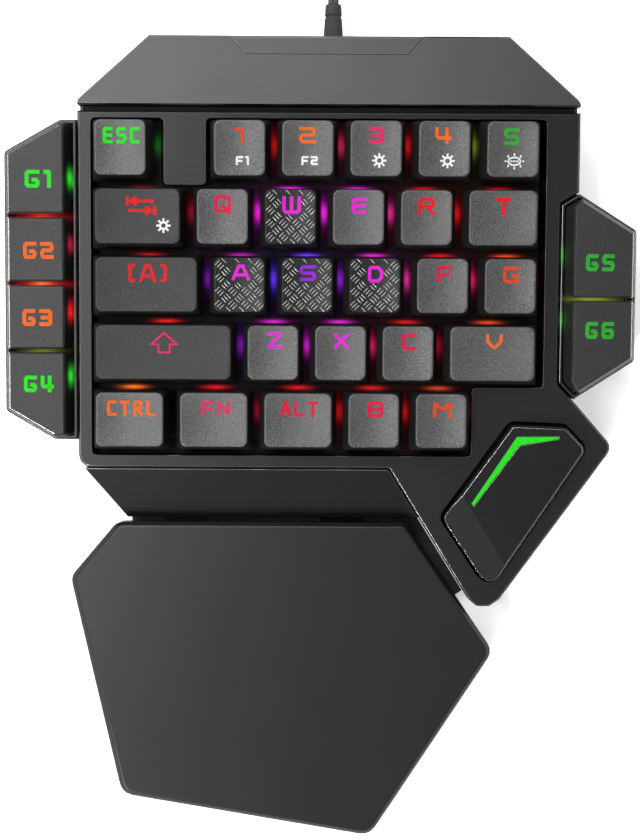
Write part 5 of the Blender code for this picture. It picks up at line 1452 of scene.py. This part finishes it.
# Each light: its place, its width and length, and the setting that holds its power
LIGHTS = {
    "left_softbox": ((-0.24, 0.12, 0.7), (0.18, 0.72), "left_power"),
    "rear_softbox": ((-0.12, 0.58, 0.67), (0.56, 0.34), "rear_power"),
    "front_softbox": ((-0.34, -0.5, 0.6), (0.16, 0.2), "front_power"),
    "left_strip": ((-0.8, 0.05, 0.16), (0.1, 0.8), "edge_power"),
    "right_strip": ((0.8, 0.05, 0.16), (0.1, 0.8), "edge_power"),
}


def seen_directly(tree):
    """One for rays from the camera and for mirrored or refracted ones."""
    path = node(tree, "ShaderNodeLightPath").outputs
    first = math_node(tree, "MAXIMUM", path["Is Camera Ray"], path["Is Glossy Ray"])
    return math_node(tree, "MAXIMUM", first, path["Is Transmission Ray"])


def floor_material():
    material, tree, shader, spot = material_base("pale_floor")
    tone = varied(tree, spot, 6, 0, 1)
    inputs = {
        "Base Color": blended(tree, tone, (0.8, 0.8, 0.8), (0.82, 0.82, 0.82)),
        "Roughness": 0.9,
        "Emission Color": (1, 1, 1, 1),
        "Emission Strength": math_node(tree, "MULTIPLY", seen_directly(tree), FLOOR_LIGHT),
    }
    feed(tree, shader, inputs)
    return material


def build_camera(scene, studio):
    lens = bpy.data.cameras.new("product_camera")
    lens.lens = studio.lens
    lens.sensor_width = SENSOR_WIDTH
    lens.shift_x, lens.shift_y = LENS_SHIFT
    lens.clip_start = 0.01
    camera = bpy.data.objects.new("product_camera", lens)
    camera.location = (*CAMERA_SPOT, studio.height)
    camera.rotation_euler = (0, 0, studio.turn)
    scene.collection.objects.link(camera)
    scene.camera = camera


def build_world(scene, studio):
    world = bpy.data.worlds.new("studio")
    world.use_nodes = True
    tree = world.node_tree
    even = tree.nodes["Background"]
    feed(tree, even, {"Color": (1, 1, 1, 1), "Strength": studio.ambient})
    bright = node(tree, "ShaderNodeBackground", {"Color": (1, 1, 1, 1), "Strength": 1.0})
    shaders = {0: seen_directly(tree), 1: even.outputs[0], 2: bright.outputs[0]}
    mix = node(tree, "ShaderNodeMixShader", shaders)
    tree.links.new(mix.outputs[0], tree.nodes["World Output"].inputs["Surface"])
    scene.world = world


def build_floor(scene):
    corners = [(x * FLOOR_HALF, y * FLOOR_HALF, 0) for x, y in ((-1, -1), (1, -1), (1, 1), (-1, 1))]
    sheet = bpy.data.meshes.new("studio_floor")
    sheet.from_pydata(corners, [], [(0, 1, 2, 3)])
    sheet.materials.append(floor_material())
    floor = bpy.data.objects.new("studio_floor", sheet)
    floor.location.z = -FLOOR_DROP
    scene.collection.objects.link(floor)


def build_lights(scene, studio):
    for name, (spot, size, power_name) in LIGHTS.items():
        data = bpy.data.lights.new(name, "AREA")
        data.shape = "RECTANGLE"
        data.size, data.size_y = size
        data.energy = getattr(studio, power_name)
        lamp = bpy.data.objects.new(name, data)
        lamp.location = spot
        toward = (Vector(LIT_SPOT) - Vector(spot)).normalized()
        across = Vector((0, 1, 0)).cross(toward).normalized()
        up = (-toward).cross(across)
        lamp.rotation_euler = Matrix((across, up, -toward)).transposed().to_euler()
        lamp.visible_camera = False
        scene.collection.objects.link(lamp)


def build_stage():
    scene = bpy.context.scene
    studio = settings("keypad_studio")
    build_camera(scene, studio)
    build_world(scene, studio)
    scene.view_settings.view_transform = "Standard"
    build_floor(scene)
    build_lights(scene, studio)


# Operators and panel


class KEYPAD_OT_stage(Operator):
    """Sets up the camera, the pale floor and the studio's lights"""

    bl_idname = "keypad.stage"
    bl_label = "Studio"

    def execute(self, context):
        build_stage()
        return {"FINISHED"}


class KEYPAD_OT_cord(Operator):
    """Lays the braided cord, its strain relief, its tie and its plug"""

    bl_idname = "keypad.cord"
    bl_label = "Cord and plug"

    def execute(self, context):
        build_cord()
        return {"FINISHED"}


class KEYPAD_OT_keycaps(Operator):
    """Builds the dished caps of the main keys"""

    bl_idname = "keypad.keycaps"
    bl_label = "Keycaps"

    def execute(self, context):
        build_keycaps()
        return {"FINISHED"}


class KEYPAD_OT_treads(Operator):
    """Lays the raised bars on the tread caps"""

    bl_idname = "keypad.treads"
    bl_label = "Tread bars"

    def execute(self, context):
        build_treads()
        return {"FINISHED"}


class KEYPAD_OT_legends(Operator):
    """Prints the lit letters and signs on the keys"""

    bl_idname = "keypad.legends"
    bl_label = "Legends"

    def execute(self, context):
        build_legends()
        return {"FINISHED"}


class KEYPAD_OT_flat_keys(Operator):
    """Builds the macro keys, the thumb key and its light guide"""

    bl_idname = "keypad.flat_keys"
    bl_label = "Flat keys"

    def execute(self, context):
        build_flat_keys()
        return {"FINISHED"}


class KEYPAD_OT_housing(Operator):
    """Rounds the frame, the covers, the wings, the apron and the bottom case"""

    bl_idname = "keypad.housing"
    bl_label = "Housing"

    def execute(self, context):
        build_housing()
        return {"FINISHED"}


class KEYPAD_OT_inside(Operator):
    """Lights the switch plate and finishes the circuit board"""

    bl_idname = "keypad.inside"
    bl_label = "Plate and board"

    def execute(self, context):
        build_inside()
        return {"FINISHED"}


class KEYPAD_OT_wrist_rest(Operator):
    """Rounds the wrist rest's cover and tray"""

    bl_idname = "keypad.wrist_rest"
    bl_label = "Wrist rest"

    def execute(self, context):
        build_wrist_rest()
        return {"FINISHED"}


class KEYPAD_OT_feet(Operator):
    """Rounds the rubber feet and sets the screws beside them"""

    bl_idname = "keypad.feet"
    bl_label = "Feet and screws"

    def execute(self, context):
        build_feet_and_screws()
        return {"FINISHED"}


OPERATORS = (
    KEYPAD_OT_stage,
    KEYPAD_OT_cord,
    KEYPAD_OT_keycaps,
    KEYPAD_OT_treads,
    KEYPAD_OT_legends,
    KEYPAD_OT_flat_keys,
    KEYPAD_OT_housing,
    KEYPAD_OT_inside,
    KEYPAD_OT_wrist_rest,
    KEYPAD_OT_feet,
)
GROUPS = {
    "keypad_caps": KeypadCapSizes,
    "keypad_treads": KeypadTreadSizes,
    "keypad_legends": KeypadLegendSizes,
    "keypad_glow": KeypadGlowSizes,
    "keypad_edges": KeypadEdgeSizes,
    "keypad_finishes": KeypadFinishColours,
    "keypad_lamps": KeypadLampColours,
    "keypad_studio": KeypadStudioSettings,
}


class KEYPAD_PT_panel(Panel):
    """Lists the keypad's pieces, sizes and colours"""

    bl_idname = "KEYPAD_PT_panel"
    bl_label = "Gaming keypad"
    bl_space_type = "VIEW_3D"
    bl_region_type = "UI"
    bl_category = "Keypad"

    def draw(self, context):
        for operator in OPERATORS:
            self.layout.operator(operator.bl_idname)
        for name, group in GROUPS.items():
            box = self.layout.box()
            for field in group.__annotations__:
                box.prop(getattr(context.scene, name), field)


def register():
    for group in GROUPS.values():
        bpy.utils.register_class(group)
    for operator in OPERATORS:
        bpy.utils.register_class(operator)
    bpy.utils.register_class(KEYPAD_PT_panel)
    for name, group in GROUPS.items():
        setattr(bpy.types.Scene, name, PointerProperty(type=group))


def unregister():
    for name in GROUPS:
        delattr(bpy.types.Scene, name)
    bpy.utils.unregister_class(KEYPAD_PT_panel)
    for operator in reversed(OPERATORS):
        bpy.utils.unregister_class(operator)
    for group in reversed(GROUPS.values()):
        bpy.utils.unregister_class(group)


def main():
    register()
    bpy.ops.keypad.stage()
    bpy.ops.keypad.cord()
    bpy.ops.keypad.keycaps()
    bpy.ops.keypad.treads()
    bpy.ops.keypad.legends()
    bpy.ops.keypad.flat_keys()
    bpy.ops.keypad.housing()
    bpy.ops.keypad.inside()
    bpy.ops.keypad.wrist_rest()
    bpy.ops.keypad.feet()


if __name__ == "__main__":
    main()
